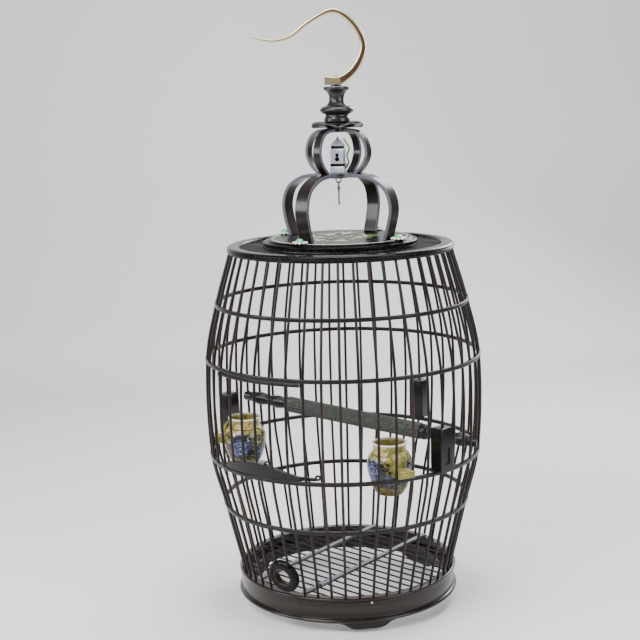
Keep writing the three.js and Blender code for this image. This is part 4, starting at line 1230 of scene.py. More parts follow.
class Base(Assembly):
    """The moulded base ring, its three bracket feet and a pin's head."""

    size = BaseSize()

    def build(self) -> None:
        """Makes the ring, the pin's head and the feet."""
        s = self.size
        inner, lip = s.radius - s.wall, s.radius - s.wall - s.ledge_width
        lower = [
            (0.4, 0, 0.5), (2, 1.4, 1.2), (2, 3.2, 1.2), (0.6, 4.6, 0.4), (-1.7, 5.2, 0.6), (-0.6, 15.5, 6),
        ]
        upper = [
            (-1.7, -6.4, 0.6), (-0.4, -5.2, 0.3), (-0.4, -4.4, 0.3), (-1.1, -4, 0.2), (1.1, -3.2, 1),
            (1, -0.8, 1), (-1.2, 0, 0.8),
        ]
        outline = [
            (lip, s.ledge - 4, 0.6), (inner, s.ledge - 7, 1), (inner, s.foot, 0.6),
            *moved(lower, s.radius, s.foot), *moved(upper, s.radius, s.top),
            (inner, s.top, 0.8), (inner, s.ledge, 0.5), (lip, s.ledge, 0.6),
        ]
        wood = self.palette.base
        ring = Skin().ring(rounded(outline, 0.6, True), 220, 0.4)
        ring.build("base_moulding", wood, "dark_wood", "base_ring")
        pin = rounded([(0, -4), (0.7, -4), (0.7, 0), (1.45, 0), (1.2, 0.9, 0.5), (0, 1.2)], 0.3, False)
        place = around(s.radius - 1, s.pin_angle, s.pin_height)
        head = Skin().turned(pin, 24, place, spin(s.pin_angle) @ spin(90, "Y"))
        head.build("rim_pin", self.palette.pale_pin, "pin_metal", "base_pin")
        for i, angle in enumerate(s.foot_angles, 1):
            skin = Skin().round_arc(self.foot_section, angle - s.foot_half, angle + s.foot_half, 64, 0.6)
            skin.build(f"bracket_{i}", wood, "dark_wood", f"foot_{i}")

    def foot_section(self, share: float) -> Array:
        """A bracket foot's outline.

        Args:
            share: How far along the foot it is, from 0 to 1.

        Returns:
            Rows of radius, height and edge weight.
        """
        s = self.size
        out = abs(2 * share - 1)
        scallop = 0.5 * (1 - math.cos(math.pi * min(1, (1 - out) * 1.8)))
        ripple = 0.5 * math.sin(out * 16) * (1 - scallop)
        bottom = max(min((s.foot - 2.4) * (1 - scallop) + ripple, s.foot - 2.2), 0.0)
        low, high, top = s.foot_outer - s.foot_thick, s.foot_outer, s.foot - SEAT
        return rounded([(low, bottom), (high, bottom, 1.1), (high, top), (low, top)], 0.5, True)


@dataclass(frozen=True)
class TopSize:
    """Sizes of the top, in millimetres."""

    bottom: float = 442.5
    ring_top: float = 451.5
    outer: float = 141.2
    inner: float = 125.3
    collar_inner: float = 87.0
    collar_outer: float = 94.0
    collar_top: float = 450.0
    collar_height: float = 5.0
    spoke: float = 1.4
    board: float = 95.5
    board_bottom: float = 450.3
    board_top: float = 458.3
    border: float = 84.0
    blossoms: int = 7


class Top(Assembly):
    """Top ring, spokes, collar, and the lacquered board with its inlay."""

    size = TopSize()

    def build(self) -> None:
        """Makes the ring, the spokes with their collar, the board and the inlay."""
        s = self.size
        outside = [(0, -4.6, 0.3), (-0.9, -4.1, 0.3), (-0.5, -2.4, 1.2), (-2.6, -0.5, 1.4)]
        ring = [
            (s.inner, s.bottom + 1.6, 0.8), (s.inner + 1.6, s.bottom, 0.8),
            (s.outer - 2.2, s.bottom, 1), (s.outer - 0.2, s.bottom + 2.2, 1.2),
            *moved(outside, s.outer, s.ring_top),
            *moved([(6, 0, 2), (2, -0.4, 0.6), (0, -2.4, 0.8)], s.inner, s.ring_top),
        ]
        skin = Skin().ring(rounded(ring, 0.8, True), 220)
        skin.build("top_moulding", self.palette.rim, "black_lacquer", "top_ring")
        height = s.collar_top - s.collar_height / 2
        collar = bar_section(s.collar_outer - s.collar_inner, s.collar_height, 1.0)
        skin = Skin().ring(collar + np.array([(s.collar_inner + s.collar_outer) / 2, height, 0]), 160)
        skin.build("collar", self.palette.hoops, "bar_wood", "spoke_collar")
        spokes = Skin()
        for number in range(BARREL.count):
            ends = [around(r, BARREL.azimuth(number), height) for r in (s.collar_outer - 1, s.inner - 0.6)]
            spokes.sweep(np.array(ends), disc_section(s.spoke, 10), UP, BARREL.tone(number))
        spokes.build("spokes", self.palette.hoops, "bar_wood")
        edge = [(0, -3.6, 0.7), (-1.4, -2.6, 0.8), (-4.6, -2.6, 0.5), (-6.4, 0, 1.2)]
        board = [
            (0, s.board_bottom), (s.board - 1, s.board_bottom, 0.6), (s.board, s.board_bottom + 1.2, 0.6),
            *moved(edge, s.board, s.board_top), (0, s.board_top),
        ]
        skin = Skin().turned(rounded(board, 0.8, False), 200)
        skin.build("board", self.palette.table, "black_lacquer", "top_board")
        self.build_inlay()

    def build_inlay(self) -> None:
        """Lays a garland of blossoms and leaves, in thin shell and stone, on the board."""
        top = self.size.board_top
        white, green, red = Skin(), Skin(), Skin()
        for i in range(self.size.blossoms):
            angle = 20 + i * 360 / self.size.blossoms + 9 * math.sin(i * 2.3)
            centre = around(33 + 9 * math.sin(i * 1.7), angle, top)
            self.blossom(white if i % 3 else red, centre, 7.2 + 1.6 * math.sin(i * 3.1), angle)
            self.petal(red if i % 3 else white, centre + (0, 0, 0.25), 1.5, 1.5)
            for k, turn in enumerate((-62, -24, 31, 74)):
                heading = angle + turn + 8 * math.sin(i + k)
                spot = centre + around(11.5 + 2 * (k % 2), heading, 0)
                self.petal(green, spot, 6.4 - k % 2, 2.3, heading)
            for k in range(3):
                spot = centre + around(15 + 3 * k, angle + 180 + 30 * (k - 1), 0)
                self.petal(white if k % 2 else green, spot, 1.2, 1.2)
        stem = np.array([around(31 + 6 * math.sin(math.radians(3 * a)), a, top) for a in range(0, 360, 3)])
        green.sweep(stem, bar_section(0.9, 0.5, 0.15, 1), UP, endless=True)
        edge = np.array([around(self.size.border, a, top) for a in range(0, 360, 2)])
        white.sweep(edge, bar_section(0.5, 0.7, 0.12, 1), UP, endless=True)
        white.build("inlay_shell", self.palette.shell, "pearl")
        green.build("inlay_leaves", self.palette.moss, "green_stone")
        red.build("inlay_coral", self.palette.coral, "black_lacquer")

    def blossom(self, skin: Skin, centre: Array, radius: float, turn: float) -> None:
        """Adds five petals round a centre.

        Args:
            skin: What they are added to.
            centre: The middle, on the board.
            radius: How far they reach.
            turn: Angle of the first, in degrees.
        """
        for k in range(5):
            heading = turn + k * 360 / 5
            spot = centre + around(radius * 0.52, heading, 0)
            self.petal(skin, spot, radius * 0.5, radius * 0.33, heading, 0.25)

    def petal(
        self, skin: Skin, centre: Array, half: float, wide: float, heading: float = 0.0, thick: float = 0.3
    ) -> None:
        """Adds one flat almond-shaped piece.

        Args:
            skin: What it is added to.
            centre: Its middle, on the board.
            half: Half of its length.
            wide: Half of its width.
            heading: Angle of its length, in degrees.
            thick: How far it stands above the board.
        """
        turn = circle(18)
        x, y = half * np.cos(turn), wide * np.sin(turn) * (1 - 0.25 * np.cos(turn))
        a = math.radians(heading)
        flat = np.stack([x * math.cos(a) - y * math.sin(a), x * math.sin(a) + y * math.cos(a)], axis=1)
        levels = ((1, -0.2), (1, thick * 0.6), (0.9, thick))
        rows = [np.column_stack([flat * share, np.full(len(turn), z)]) + centre for share, z in levels]
        skin.loft(np.array(rows))


@dataclass(frozen=True)
class CrownSize:
    """Sizes of the crown, in millimetres and degrees."""

    angles: tuple[float, ...] = (-35.0, 55.0, 145.0, 235.0)
    board_top: float = 458.3
    claw_foot: float = 458.6
    claw_top: float = 536.6
    claw: tuple[float, float] = (18.0, 4.5)
    hub: float = 13.0
    hub_height: float = 6.0
    lantern_foot: float = 536.9
    lantern_top: float = 591.9
    lantern: tuple[float, float] = (10.5, 4.0)
    keepsake_turn: float = -11.0
    leaf_bottom: float = 592.2
    leaf: float = 34.5
    leaf_flat: float = 15.0
    leaf_thick: float = 1.6
    rosette: float = 84.65
    pearls: int = 10
    pivot: float = 525.1
    eye: float = 1.9
    wire: float = 0.8


class Crown(Assembly):
    """Claw, lantern, ornament, leaf plate, rosettes and the hanging pin."""

    size = CrownSize()

    def build(self) -> None:
        """Makes every piece of the crown below the finial."""
        self.build_claw()
        self.build_lantern()
        self.build_ornament()
        self.build_leaf()
        self.build_rosettes()
        self.build_pin()

    def strips(self, path: Rows, section: tuple[float, float], steps: int, name: str, node: str) -> None:
        """Makes four bent strips with rounded edges, in upright planes through the axis.

        Args:
            path: Radius and height of points along a strip.
            section: Its width and thickness.
            steps: How many stretches it has.
            name: What the pieces' names begin with.
            node: What the CAD nodes' names begin with.
        """
        wide, thick = section
        flat = smooth_path(path, steps)
        shape = bar_section(wide, thick, 0.8)
        # The narrow faces are marked as edges whole, so the crown finish paints a highlight on them in its
        # pale edge tint.
        shape[:, 2] = np.abs(shape[:, 0]) > wide / 2 - 0.5
        for i, angle in enumerate(self.size.angles, 1):
            points = np.array([around(out, angle, z) for out, z in flat[:, :2]])
            skin = Skin().sweep(points, shape, around(1, angle + 90, 0), BARREL.tone(round(angle)))
            skin.build(f"{name}_{i}", self.palette.rosewood, "rosewood", f"{node}_{i}")

    def build_claw(self) -> None:
        """Makes the four claw strips, the hub and its staple."""
        s = self.size
        middle = s.claw_top - s.claw[1] / 2 - 0.1
        foot, rise = s.claw_foot, s.claw_top - s.claw_foot
        path = [
            (70, foot - 0.2), (76, foot + rise * 0.24), (79, foot + rise * 0.5), (72, foot + rise * 0.76),
            (54, middle - 4), (35, middle), (s.hub + 0.3, middle),
        ]
        self.strips(path, s.claw, 56, "claw_strip", "claw")
        bottom = s.claw_top - s.hub_height
        edge = [(-4, 0, 0.5), (-2.6, 0.8, 0.5), (-1.4, 0.9, 0.5), (0, 2.6, 0.8)]
        hub = [(0, bottom), *moved(edge, s.hub, bottom), (s.hub, s.claw_top, 0.6), (0, s.claw_top)]
        skin = Skin().turned(rounded(hub, 0.6, False), 64)
        skin.build("hub", self.palette.rosewood, "rosewood", "claw_hub")
        bend = [(-3, 1), (-3, -2.5), (-1.8, -5.1), (0, -5.5), (1.8, -5.1), (3, -2.5), (3, 1)]
        loop = smooth_path([(x, 0, bottom + z) for x, z in bend], 40)
        staple = Skin().sweep(loop, disc_section(s.wire, 10), SIDEWAYS)
        staple.build("staple", self.palette.steel, "pin_metal")

    def build_lantern(self) -> None:
        """Makes the four lantern strips and the boss that they meet at."""
        s = self.size
        foot, top, rise = s.lantern_foot, s.lantern_top, s.lantern_top - s.lantern_foot
        path = [
            (27, foot - 0.2), (38.5, foot + rise * 0.2), (44, foot + rise * 0.46), (39.5, foot + rise * 0.74),
            (29, top - 5), (12.2, top - s.lantern[1] / 2 - 0.1),
        ]
        self.strips(path, s.lantern, 48, "lantern_strip", "lantern")
        cap = [(0, top - 5), (11.2, top - 5), (11.2, top), (0, top)]
        skin = Skin().turned(rounded(cap, 0.8, False), 48)
        skin.build("lantern_boss", self.palette.rosewood, "rosewood", "lantern_cap")

    def build_ornament(self) -> None:
        """Makes the square metal vase under its little roof, its gourd window and its curling handle."""
        s = self.size
        base, turn = s.lantern_foot, math.radians(s.keepsake_turn)
        levels = [
            (8.4, 0), (8.9, 0.5), (8.9, 7.4), (8.5, 8.4), (7.5, 9.0), (7.1, 9.7), (7.1, 10.8), (7.8, 11.6),
            (8.1, 12.6), (8.0, 17), (7.9, 21), (8.0, 25), (8.5, 27.6), (8.7, 28.2), (8.3, 29.6), (6.6, 30.6),
            (5.9, 31.2), (5.9, 32.4), (6.8, 33.2), (7.5, 33.9), (7.5, 35.3), (6.4, 36.4), (4.5, 38.7),
            (2.8, 40.8), (1.5, 42.4), (1.5, 43.2), (0.8, 44.5),
        ]
        lay = np.array([[math.cos(turn), math.sin(turn)], [-math.sin(turn), math.cos(turn)]])
        shapes = [bar_section(2 * half, 2 * half, 0.7) for half, _ in levels]
        rows = [
            np.column_stack([shape[:, :2] @ lay, np.full(len(shape), base + z)])
            for shape, (_, z) in zip(shapes, levels)
        ]
        vase = Skin().loft(np.array(rows), np.array([shape[:, 2] for shape in shapes]))
        made = vase.build("keepsake", self.palette.silver, "pale_metal", "ornament", crease=28)
        for axis in (0, 90):
            for number, (z, radius) in enumerate(((17.5, 2.9), (22.4, 2.3))):
                tube = np.array([(radius, -30, 0), (radius, 30, 0)])
                bore = Matrix.Rotation(turn + math.radians(axis), 4, "Z") @ spin(90, "X")
                cutter = Skin().turned(tube, 28, (0, 0, base + z), bore)
                carve(made, cutter, f"window_{axis}_{number}")
        for name, side, z, high, edge in (
            # Black collars in the necks above the base and under the roof are painted shade where the vase
            # pinches in.
            ("neck_shade_1", 17.0, 8.7, 3.3, 0.5),
            ("neck_shade_2", 14.6, 30.3, 3.3, 0.5),
            # A black block inside the vase, seen through the gourd window, is painted shade for the dark
            # hollow behind it.
            ("core", 10.0, 11.5, 17.0, 0.4),
        ):
            skin = Skin().block((side, side, high), edge, shift(0, 0, base + z) @ spin(s.keepsake_turn))
            skin.build(f"keepsake_{name}", self.palette.lacquer, "black_lacquer")
        curls = [(7.8, 5), (11.2, 9), (13.2, 14), (11.2, 22), (14.2, 30), (10.2, 38), (7.2, 42)]
        path = smooth_path([tuple(around(out, s.keepsake_turn, base + z)) for out, z in curls], 60)

        def beaded(share: float) -> Array:
            """Section of the handle, which thins upwards and is beaded."""
            return disc_section(1.1 - 0.35 * share + 0.2 * math.sin(share * 34) ** 2, 10)

        handle = Skin().sweep(path, beaded, SIDEWAYS)
        handle.build("keepsake_handle", self.palette.steel, "pale_metal")

    def build_leaf(self) -> None:
        """Makes the thin lotus-leaf plate: four lobes that rise, fall back between and curl at the rim."""
        s = self.size
        angle = circle(176)
        lobe = np.abs(np.sin(2 * angle)) ** 0.8
        radii = [3, 9, s.leaf_flat, 18, 21, 24, 27, 29.5, 31.2, 32.4, 33.4, 34.1, s.leaf]
        rises = np.interp(radii, [0, s.leaf_flat, 21, 27, 32, s.leaf], [0, 0, 0.16, 0.5, 1, 0.88])
        rows = []
        for upper in (False, True):
            for radius, rise in list(zip(radii, rises))[:: -1 if upper else 1]:
                share = max(0.0, (radius - s.leaf_flat) / (s.leaf - s.leaf_flat))
                reach = radius - 4.0 * share * (1 - lobe)
                z = s.leaf_bottom + 5.9 * rise * lobe
                if upper:
                    z = z + s.leaf_thick + 0.16 * np.sin(angle * 40) * share * (1 - share) * 4
                if radius == s.leaf:
                    z = z + (-0.25 if upper else 0.25)
                z = np.maximum(z, s.leaf_bottom)
                rows.append(np.stack([reach * np.cos(angle), reach * np.sin(angle), z], axis=1))
        weights = np.zeros((len(rows), len(angle)))
        weights[len(radii) - 2 : len(radii) + 2] = 1.0
        skin = Skin().loft(np.array(rows), weights)
        skin.build("lotus_plate", self.palette.leaf, "black_lacquer", "leaf_plate", crease=50)

    def build_rosettes(self) -> None:
        """Makes a ring of pearls on a seat, with a green dome in its middle, outboard of each claw foot."""
        s = self.size
        low = s.board_top + SEAT
        disc = rounded([(0, low), (8.6, low), (8.8, low + 0.8), (0, low + 0.9)], 0.3, False)
        steps = np.linspace(0, math.pi, 11)
        pearl = np.stack([2.0 * np.sin(steps), -1.5 * np.cos(steps), 0 * steps], axis=1)
        steps = np.linspace(0, math.pi / 2, 14)
        dome = np.stack([5.6 * np.cos(steps), low + 1.0 + 5.2 * np.sin(steps), 0 * steps], axis=1)
        dome = np.vstack([[0, low + 1.0, 0], dome])
        for i, angle in enumerate(s.angles, 1):
            spot = around(s.rosette, angle, 0)
            seat = Skin().turned(disc, 40, spot)
            seat.build(f"flower_seat_{i}", self.palette.lacquer, "black_lacquer", f"rosette_{i}")
            flower = Skin()
            for k in range(s.pearls):
                flower.turned(pearl, 18, spot + around(7.6, k * 360 / s.pearls + 15, low + 1.3))
            flower.build(f"flower_{i}", self.palette.shell, "pearl")
            bead = Skin().turned(dome, 44, spot)
            bead.build(f"green_bead_{i}", self.palette.jade, "green_stone", f"bead_{i}")

    def build_pin(self) -> None:
        """Makes the pin that hangs from the staple by its eye."""
        s = self.size
        turn = circle(28)
        loop = np.stack([0 * turn, s.eye * np.cos(turn), s.pivot + s.eye * np.sin(turn)], axis=1)
        skin = Skin().sweep(loop, disc_section(s.wire, 10), np.array([1.0, 0, 0]), endless=True)
        shaft = [
            (0, 0), (1.1, -0.3, 0.2), (1.1, -3), (2.3, -4.2), (2.3, -5.4), (1.2, -6.4), (1.0, -14),
            (1.2, -22), (1.9, -23.6), (1.3, -24.6), (0, -25),
        ]
        skin.turned(rounded(moved(shaft, 0, s.pivot - s.eye), 0.5, False)[::-1], 20)
        skin.build("pin_wire", self.palette.steel, "pin_metal", "hanging_pin", body=Body.PIN)


def carve(target: bpy.types.Object, cutter: Skin, name: str) -> None:
    """Cuts a skin's shape out of an object and keeps the result as its mesh.

    Args:
        target: The object to cut.
        cutter: The shape to take away.
        name: Name of the shape while it is in use.
    """
    mesh = bpy.data.meshes.new(name)
    mesh.from_pydata((np.array(cutter.points) * MM).tolist(), [], cutter.faces)
    tool = link(name, mesh)
    cut = target.modifiers.new(name, "BOOLEAN")
    cut.operation, cut.solver, cut.object = "DIFFERENCE", "EXACT", tool
    bpy.context.view_layer.update()
    result = bpy.data.meshes.new_from_object(target.evaluated_get(bpy.context.evaluated_depsgraph_get()))
    target.modifiers.remove(cut)
    old, target.data = target.data, result
    result.name = target.name
    bpy.data.objects.remove(tool)
    bpy.data.meshes.remove(mesh)
    bpy.data.meshes.remove(old)


@dataclass(frozen=True)
class FinialSize:
    """Sizes of the finial and hook, in millimetres."""

    bottom: float = 594.1
    height: float = 48.0
    bore: float = 2.7
    pin: float = 2.2
    pin_depth: float = 18.0
    washer: float = 1.4
    washer_radius: float = 7.0
    rise: float = 82.6
    reach: float = 101.7
    root_height: float = 10.0
    root_width: float = 8.0
    tip: float = 1.6


class Finial(Assembly):
    """The turned finial, its washer and the swan-neck hook."""

    size = FinialSize()

    def build(self) -> None:
        """Makes the finial, the washer and the hook."""
        s = self.size
        top, floor = s.bottom + s.height, s.bottom + s.height - s.pin_depth - 1
        profile = [
            (0, 0), (14, 0, 0.5), (14, 4.4, 0.6), (15.8, 5.6, 0.8), (15.8, 9.6, 0.8), (14.2, 12.6, 1.2),
            (14.4, 14.4, 0.4), (18.6, 16.2, 1.6), (20.9, 18.6, 2), (20.9, 20.8, 2), (18.4, 23.4, 1.6),
            (14.4, 24.6, 0.4), (13.4, 25.0, 0.4), (12, 26.4, 1.2), (9.6, 29.4, 2), (9, 34, 3), (9.8, 38, 2),
            (12.4, 42.2, 1.4), (15.4, 43.9, 0.6), (16, 44.8, 0.6),
        ]
        rim = [(16, top - 1, 0.6), (14.6, top, 0.8), (s.bore, top, 0.3), (s.bore, floor), (0, floor)]
        skin = Skin().turned(rounded([*moved(profile, 0, s.bottom), *rim], 0.5, False), 96)
        skin.build("turned_finial", self.palette.gunmetal, "black_lacquer", "finial", crease=50)
        low, high = top + SEAT, top + SEAT + s.washer
        shape = [(s.bore, low), (s.washer_radius, low), (s.washer_radius, high), (s.bore, high)]
        skin = Skin().turned(rounded(shape, 0.4, True), 48, endless=True)
        skin.build("washer", self.palette.rim, "pin_metal", "hook_washer", body=Body.HOOK)
        self.build_hook(high + SEAT)

    def build_hook(self, bottom: float) -> None:
        """Makes the tapering hook with its faceted root, and the riveted pin.

        Args:
            bottom: Height of the root's underside.
        """
        s = self.size
        root = bottom + s.root_height / 2
        shares = [
            (0.143, 0), (-0.05, 0), (-0.24, 0.19), (-0.334, 0.506), (-0.204, 0.828),
            (0.03, 1), (0.319, 0.844), (0.537, 0.65), (0.764, 0.593), (1, 0.657),
        ]
        path = smooth_path([(-s.reach * out, 0, root + s.rise * up) for out, up in shares], 150)

        def section(share: float) -> Array:
            """The hook's section, which tapers and turns from square to round.

            Args:
                share: How far along the hook it is, from 0 to 1.

            Returns:
                Rows of x, y and edge weight.
            """
            taper = (1 - share) ** 0.85
            wide, high = (s.tip + (size - 0.1 - s.tip) * taper for size in (s.root_width, s.root_height))
            return bar_section(wide, high, 0.12 * wide + 0.35 * wide * min(1.0, share * 1.6), 3)

        skin = Skin().sweep(path, section, SIDEWAYS)
        points = np.array(skin.points)
        points[:, 2] = np.maximum(points[:, 2], bottom + 0.02)
        skin.points = list(points)
        skin.tone = list(np.repeat(np.linspace(0, 1, len(path)), len(points) // len(path)))
        head, tail = root + s.root_height / 2, bottom - 2 * SEAT - s.washer - s.pin_depth
        pin = [
            (0, tail), (s.pin, tail), (s.pin, head - 0.4), (s.pin + 1.0, head - 0.4),
            (s.pin + 0.6, head + 0.3, 0.4), (0, head + 0.55),
        ]
        skin.turned(rounded(pin, 0.3, False), 32)
        skin.build("hook_arm", self.palette.brass, "aged_brass", "hook", body=Body.HOOK, crease=50)


@dataclass(frozen=True)
class DoorSize:
    """Sizes of the door, in millimetres."""

    hinge_bar: int = 29
    bars: int = 5
    rail: float = 4.2
    hump: float = 16.2
    low: float = 3.2
    peak: float = 0.54
    flare: float = 2.8
    tab: tuple[float, float, float] = (9.0, 10.0, 3.0)
    top_rail: float = 4.0
    eye: float = 4.4
    eye_hole: float = 2.2
    eye_height: float = 4.0
    curl: float = 2.4
    gap: float = 0.5


class Door(Assembly):
    """The swing-in door with its humped rail."""

    size = DoorSize()

    def build(self) -> None:
        """Makes the rails, the curl, the tab, the bars and the hinge eyes."""
        s = self.size
        bottom, top = HOOPS[1] + HOOP / 2 + s.gap, HOOPS[2] - HOOP / 2 - s.gap
        left, right = BARREL.azimuth(s.hinge_bar), BARREL.azimuth(s.hinge_bar + s.bars + 1)
        radius, half = BARREL.radius(bottom), s.rail / 2
        degree = 180 / math.pi / BARREL.radius(HOOPS[1])
        stop = s.eye_hole * degree
        start, end = left + (s.eye - 1) * degree, right + 4

        def humped(share: float) -> Array:
            """The lower rail, which rises in a hump and steps inwards at its free end.

            Args:
                share: How far along the rail it is, from 0 to 1.

            Returns:
                Rows of radius, height and edge weight.
            """
            angle = start + (end - start) * share
            past = min(1.0, max(0.0, (angle - right + 4 * stop) / (3 * stop)))
            past = past * past * (3 - 2 * past)
            middle = radius - past * (BARREL.bar + half + s.gap)
            height = self.hump_share(min(1.0, max(0.0, (angle - left) / (right - left))))
            crown = bottom + s.low + (s.hump - s.low) * height
            outline = [
                (middle - half, bottom), (middle + half, bottom), (middle + half, crown, 0.7),
                (middle - half - s.flare * height, crown, 0.7),
            ]
            return rounded(outline, 0.9, True)

        rails = Skin().round_arc(humped, start, end, 96, 0.35)
        flat = bar_section(s.rail, s.top_rail, 0.9) + np.array([BARREL.radius(top), top - s.top_rail / 2, 0])
        rails.round_arc(lambda share: flat, start, right - 2 * stop, 60, 0.55)
        turn, at = circle(36)[:, None], right + 4.6
        centre = around(radius - 4.3, at, bottom + 3.8)
        curl = centre + s.curl * (np.cos(turn) * around(1, at + 90, 0) + np.sin(turn) * UP)
        rails.sweep(curl, disc_section(1.3, 12), around(1, at, 0), 0.35, True)
        rails.build("door_rails", self.palette.hoops, "bar_wood", "door", body=Body.DOOR)
        crown = s.low + (s.hump - s.low) * self.hump_share(s.peak)
        place = shift(radius + half - s.tab[0] / 2 - 0.1, 0, bottom + crown - 1)
        tab = Skin().block(s.tab, 0.8, spin(left + (right - left) * s.peak) @ place, 0.7)
        tab.build("door_tab", self.palette.batten, "bar_wood", body=Body.DOOR)
        bars = Skin()
        for number in range(s.hinge_bar + 1, s.hinge_bar + s.bars + 1):
            add_bar(bars, number, bottom + 1.2, top - 1)
        bars.build("door_bars", self.palette.bars, "bar_wood", body=Body.DOOR)
        eyes = Skin()
        eye = [(s.eye_hole, 0), (s.eye, 0), (s.eye, s.eye_height), (s.eye_hole, s.eye_height)]
        for z in (bottom, top - s.eye_height):
            spot = around(BARREL.radius(z + s.eye_height / 2), left, 0)
            eyes.turned(rounded(moved(eye, 0, z), 0.6, True), 36, spot, endless=True)
        eyes.build("door_eyes", self.palette.hoops, "bar_wood", body=Body.DOOR)

    def hump_share(self, along: float) -> float:
        """How high the lower rail's hump stands.

        Args:
            along: Share of the way from the hinge.

        Returns:
            The height, from about 0 to 1.
        """
        peak = self.size.peak
        if along < peak:
            return 0.08 + 0.92 * math.sin(math.pi / 2 * along / peak) ** 0.95
        return 1 - 0.97 * (along - peak) / (1 - peak)


@dataclass(frozen=True)
class FittingSize:
    """Sizes of the stop blocks, the perch and the port ring, in millimetres."""

    block_bars: tuple[int, ...] = (43, 7, 21)
    block: tuple[float, float, float] = (21.0, 18.0, 52.5)
    block_bottom: float = 193.3
    recess: tuple[float, float, float] = (7.0, 3.0, 20.0)
    recess_foot: float = 8.9
    perch_left: tuple[int, float] = (19, 233.0)
    perch_right: tuple[int, float] = (47, 207.0)
    perch: float = 8.6
    neck: float = 6.2
    fork: float = 3.5
    sleeve: float = 10.4
    sleeve_start: float = 67.0
    sleeve_end: float = 77.0
    port_bar: float = 32.49
    port_height: float = 62.0
    port_radius: float = 21.2
    port_hole: float = 10.2
    port_depth: float = 9.0
    wall_run: float = 20.4
    wall_rise: float = 86.6


class Fittings(Assembly):
    """Stop blocks, perch with its sleeve, and the port ring."""

    size = FittingSize()

    def build(self) -> None:
        """Makes the blocks, the perch and the port ring."""
        self.build_blocks()
        self.build_perch()
        self.build_port()

    def build_blocks(self) -> None:
        """Makes the three blocks, each with a shallow recess in its outer face."""
        s = self.size
        for i, number in enumerate(s.block_bars, 1):
            angle = BARREL.azimuth(number)
            x, y, _ = around(BARREL.radius(s.block_bottom + s.block[2] / 2), angle, 0)
            place = shift(x, y, s.block_bottom) @ spin(angle + 90)
            skin = Skin().block(s.block, 1.4, place, 0.2 * i)
            made = skin.build(f"block_{i}", self.palette.block, "dark_wood", f"stop_block_{i}")
            dent = place @ shift(0, -s.block[1] / 2, s.recess_foot)
            carve(made, Skin().block(s.recess, 0.6, dent), f"recess_{i}")

    def build_perch(self) -> None:
        """Makes the turned perch with forked ends and the sleeve on its middle."""
        s = self.size
        left, right = BARREL.at(*s.perch_left), BARREL.at(*s.perch_right)
        length = float(np.linalg.norm(right - left))
        start, end, r, n, core = s.sleeve_start, length - s.sleeve_end, s.perch, s.neck, s.sleeve - 3

        def bulges(low: float, high: float) -> Rows:
            """Two turned bulges with a waist between them.

            Args:
                low: Where the first begins, along the perch.
                high: Where the second ends.

            Returns:
                Rows of radius, distance along and corner radius.
            """
            middle, quarter = (low + high) / 2, (high - low) / 4
            first = [
                (n, low, 0.5), (r * 0.86, low + quarter * 0.3, 1.4), (r, low + quarter * 0.85, 2.6),
                (r, low + quarter * 1.15, 2.6), (r * 0.84, middle - quarter * 0.42, 2.4),
                (n + 0.5, middle - 1.6, 0.8),
            ]
            return first + [(out, 2 * middle - z, edge) for out, z, edge in reversed(first)]

        tail = [(-0.6, 4, 0.8), (-0.2, 9, 1.2), (-2.2, 13, 1), (-3.6, 14, 0.4), (-3.6, 18, 0.6)]
        outline = [
            (0, -s.fork), (n, -s.fork, 0.6), (n, 7.2, 0.4), *bulges(8, start - 6),
            (core - 1.0, start - 5, 0.4), (core - 0.3, start - 3.6, 0.4), (core - 0.3, end + 3),
            *moved(tail, s.sleeve, end), *bulges(end + 20, length - 8), (n, length - 7.2, 0.4),
            (n, length + s.fork, 0.6), (0, length + s.fork),
        ]
        swing = Vector((1, 0, 0)).rotation_difference(Vector(unit(right - left))).to_matrix().to_4x4()
        lay = swing @ spin(90, "Y")
        perch = Skin().turned(rounded(outline, 0.6, False), 48, left, lay)
        made = perch.build("perch_rod", self.palette.satin, "black_lacquer", "perch", crease=45)
        for number, at in enumerate((-s.fork, length + s.fork)):
            slot = shift(*left) @ swing @ shift(at, 0, -20)
            carve(made, Skin().block((16, 4.4, 40), 0.3, slot), f"slot_{number}")
        shape = [(core, start - 2), (s.sleeve, start - 2, 1.2), (s.sleeve, end + 2.7, 1.2), (core, end + 2.7)]
        tube = rounded(shape, 0.3, True)
        dense = [tube[0]]
        for a, b in zip(tube, np.vstack([tube[1:], tube[:1]])):
            parts = max(1, int(abs(b[1] - a[1]) / 3))
            dense.extend(a + (b - a) * k / parts for k in range(1, parts + 1))
        sleeve = Skin().turned(np.array(dense[:-1]), 56, left, lay, endless=True)
        sleeve.build("sanded_sleeve", self.palette.grit, "grit", "perch_sleeve")

    def build_port(self) -> None:
        """Makes the thick turned ring that stands on the base, leaning with the wall."""
        s = self.size
        half = s.port_depth / 2
        centre = BARREL.at(s.port_bar, s.port_height, -0.2)
        lean = math.degrees(math.atan(s.wall_run / s.wall_rise))
        lay = spin(BARREL.azimuth(s.port_bar)) @ spin(90 + lean, "Y")
        wide = s.port_radius - s.port_hole

        def round_piece(profile: Rows, edge: float, sides: int, tone: float) -> Skin:
            """A ring on the port's axis.

            Args:
                profile: Its front half, as distance out from the hole, depth and corner radius.
                edge: Radius of corners with none of their own.
                sides: How many sides it has.
                tone: Its tone.

            Returns:
                Its skin.
            """
            rows = moved(profile, s.port_hole, -half)
            shape = rows + [(out, -z, *rest) for out, z, *rest in reversed(rows)]
            return Skin().turned(rounded(shape, edge, True), sides, centre, lay, endless=True, tone=tone)

        front = [(2.6, 0.8, 0.4), (4.4, 0, 1), (wide - 2.4, 0, 1.4), (wide, 2.2, 1.4)]
        port = round_piece(front, 0.8, 72, 0.3)
        port.build("port", self.palette.rim, "black_lacquer", "port_ring")
        bush = round_piece([(0, 1.2, 0.6), (1, 0.2, 0.5), (2.5, 0.2, 0.2)], 0.3, 56, 0.8)
        bush.build("port_bushing", self.palette.bars, "dark_wood")


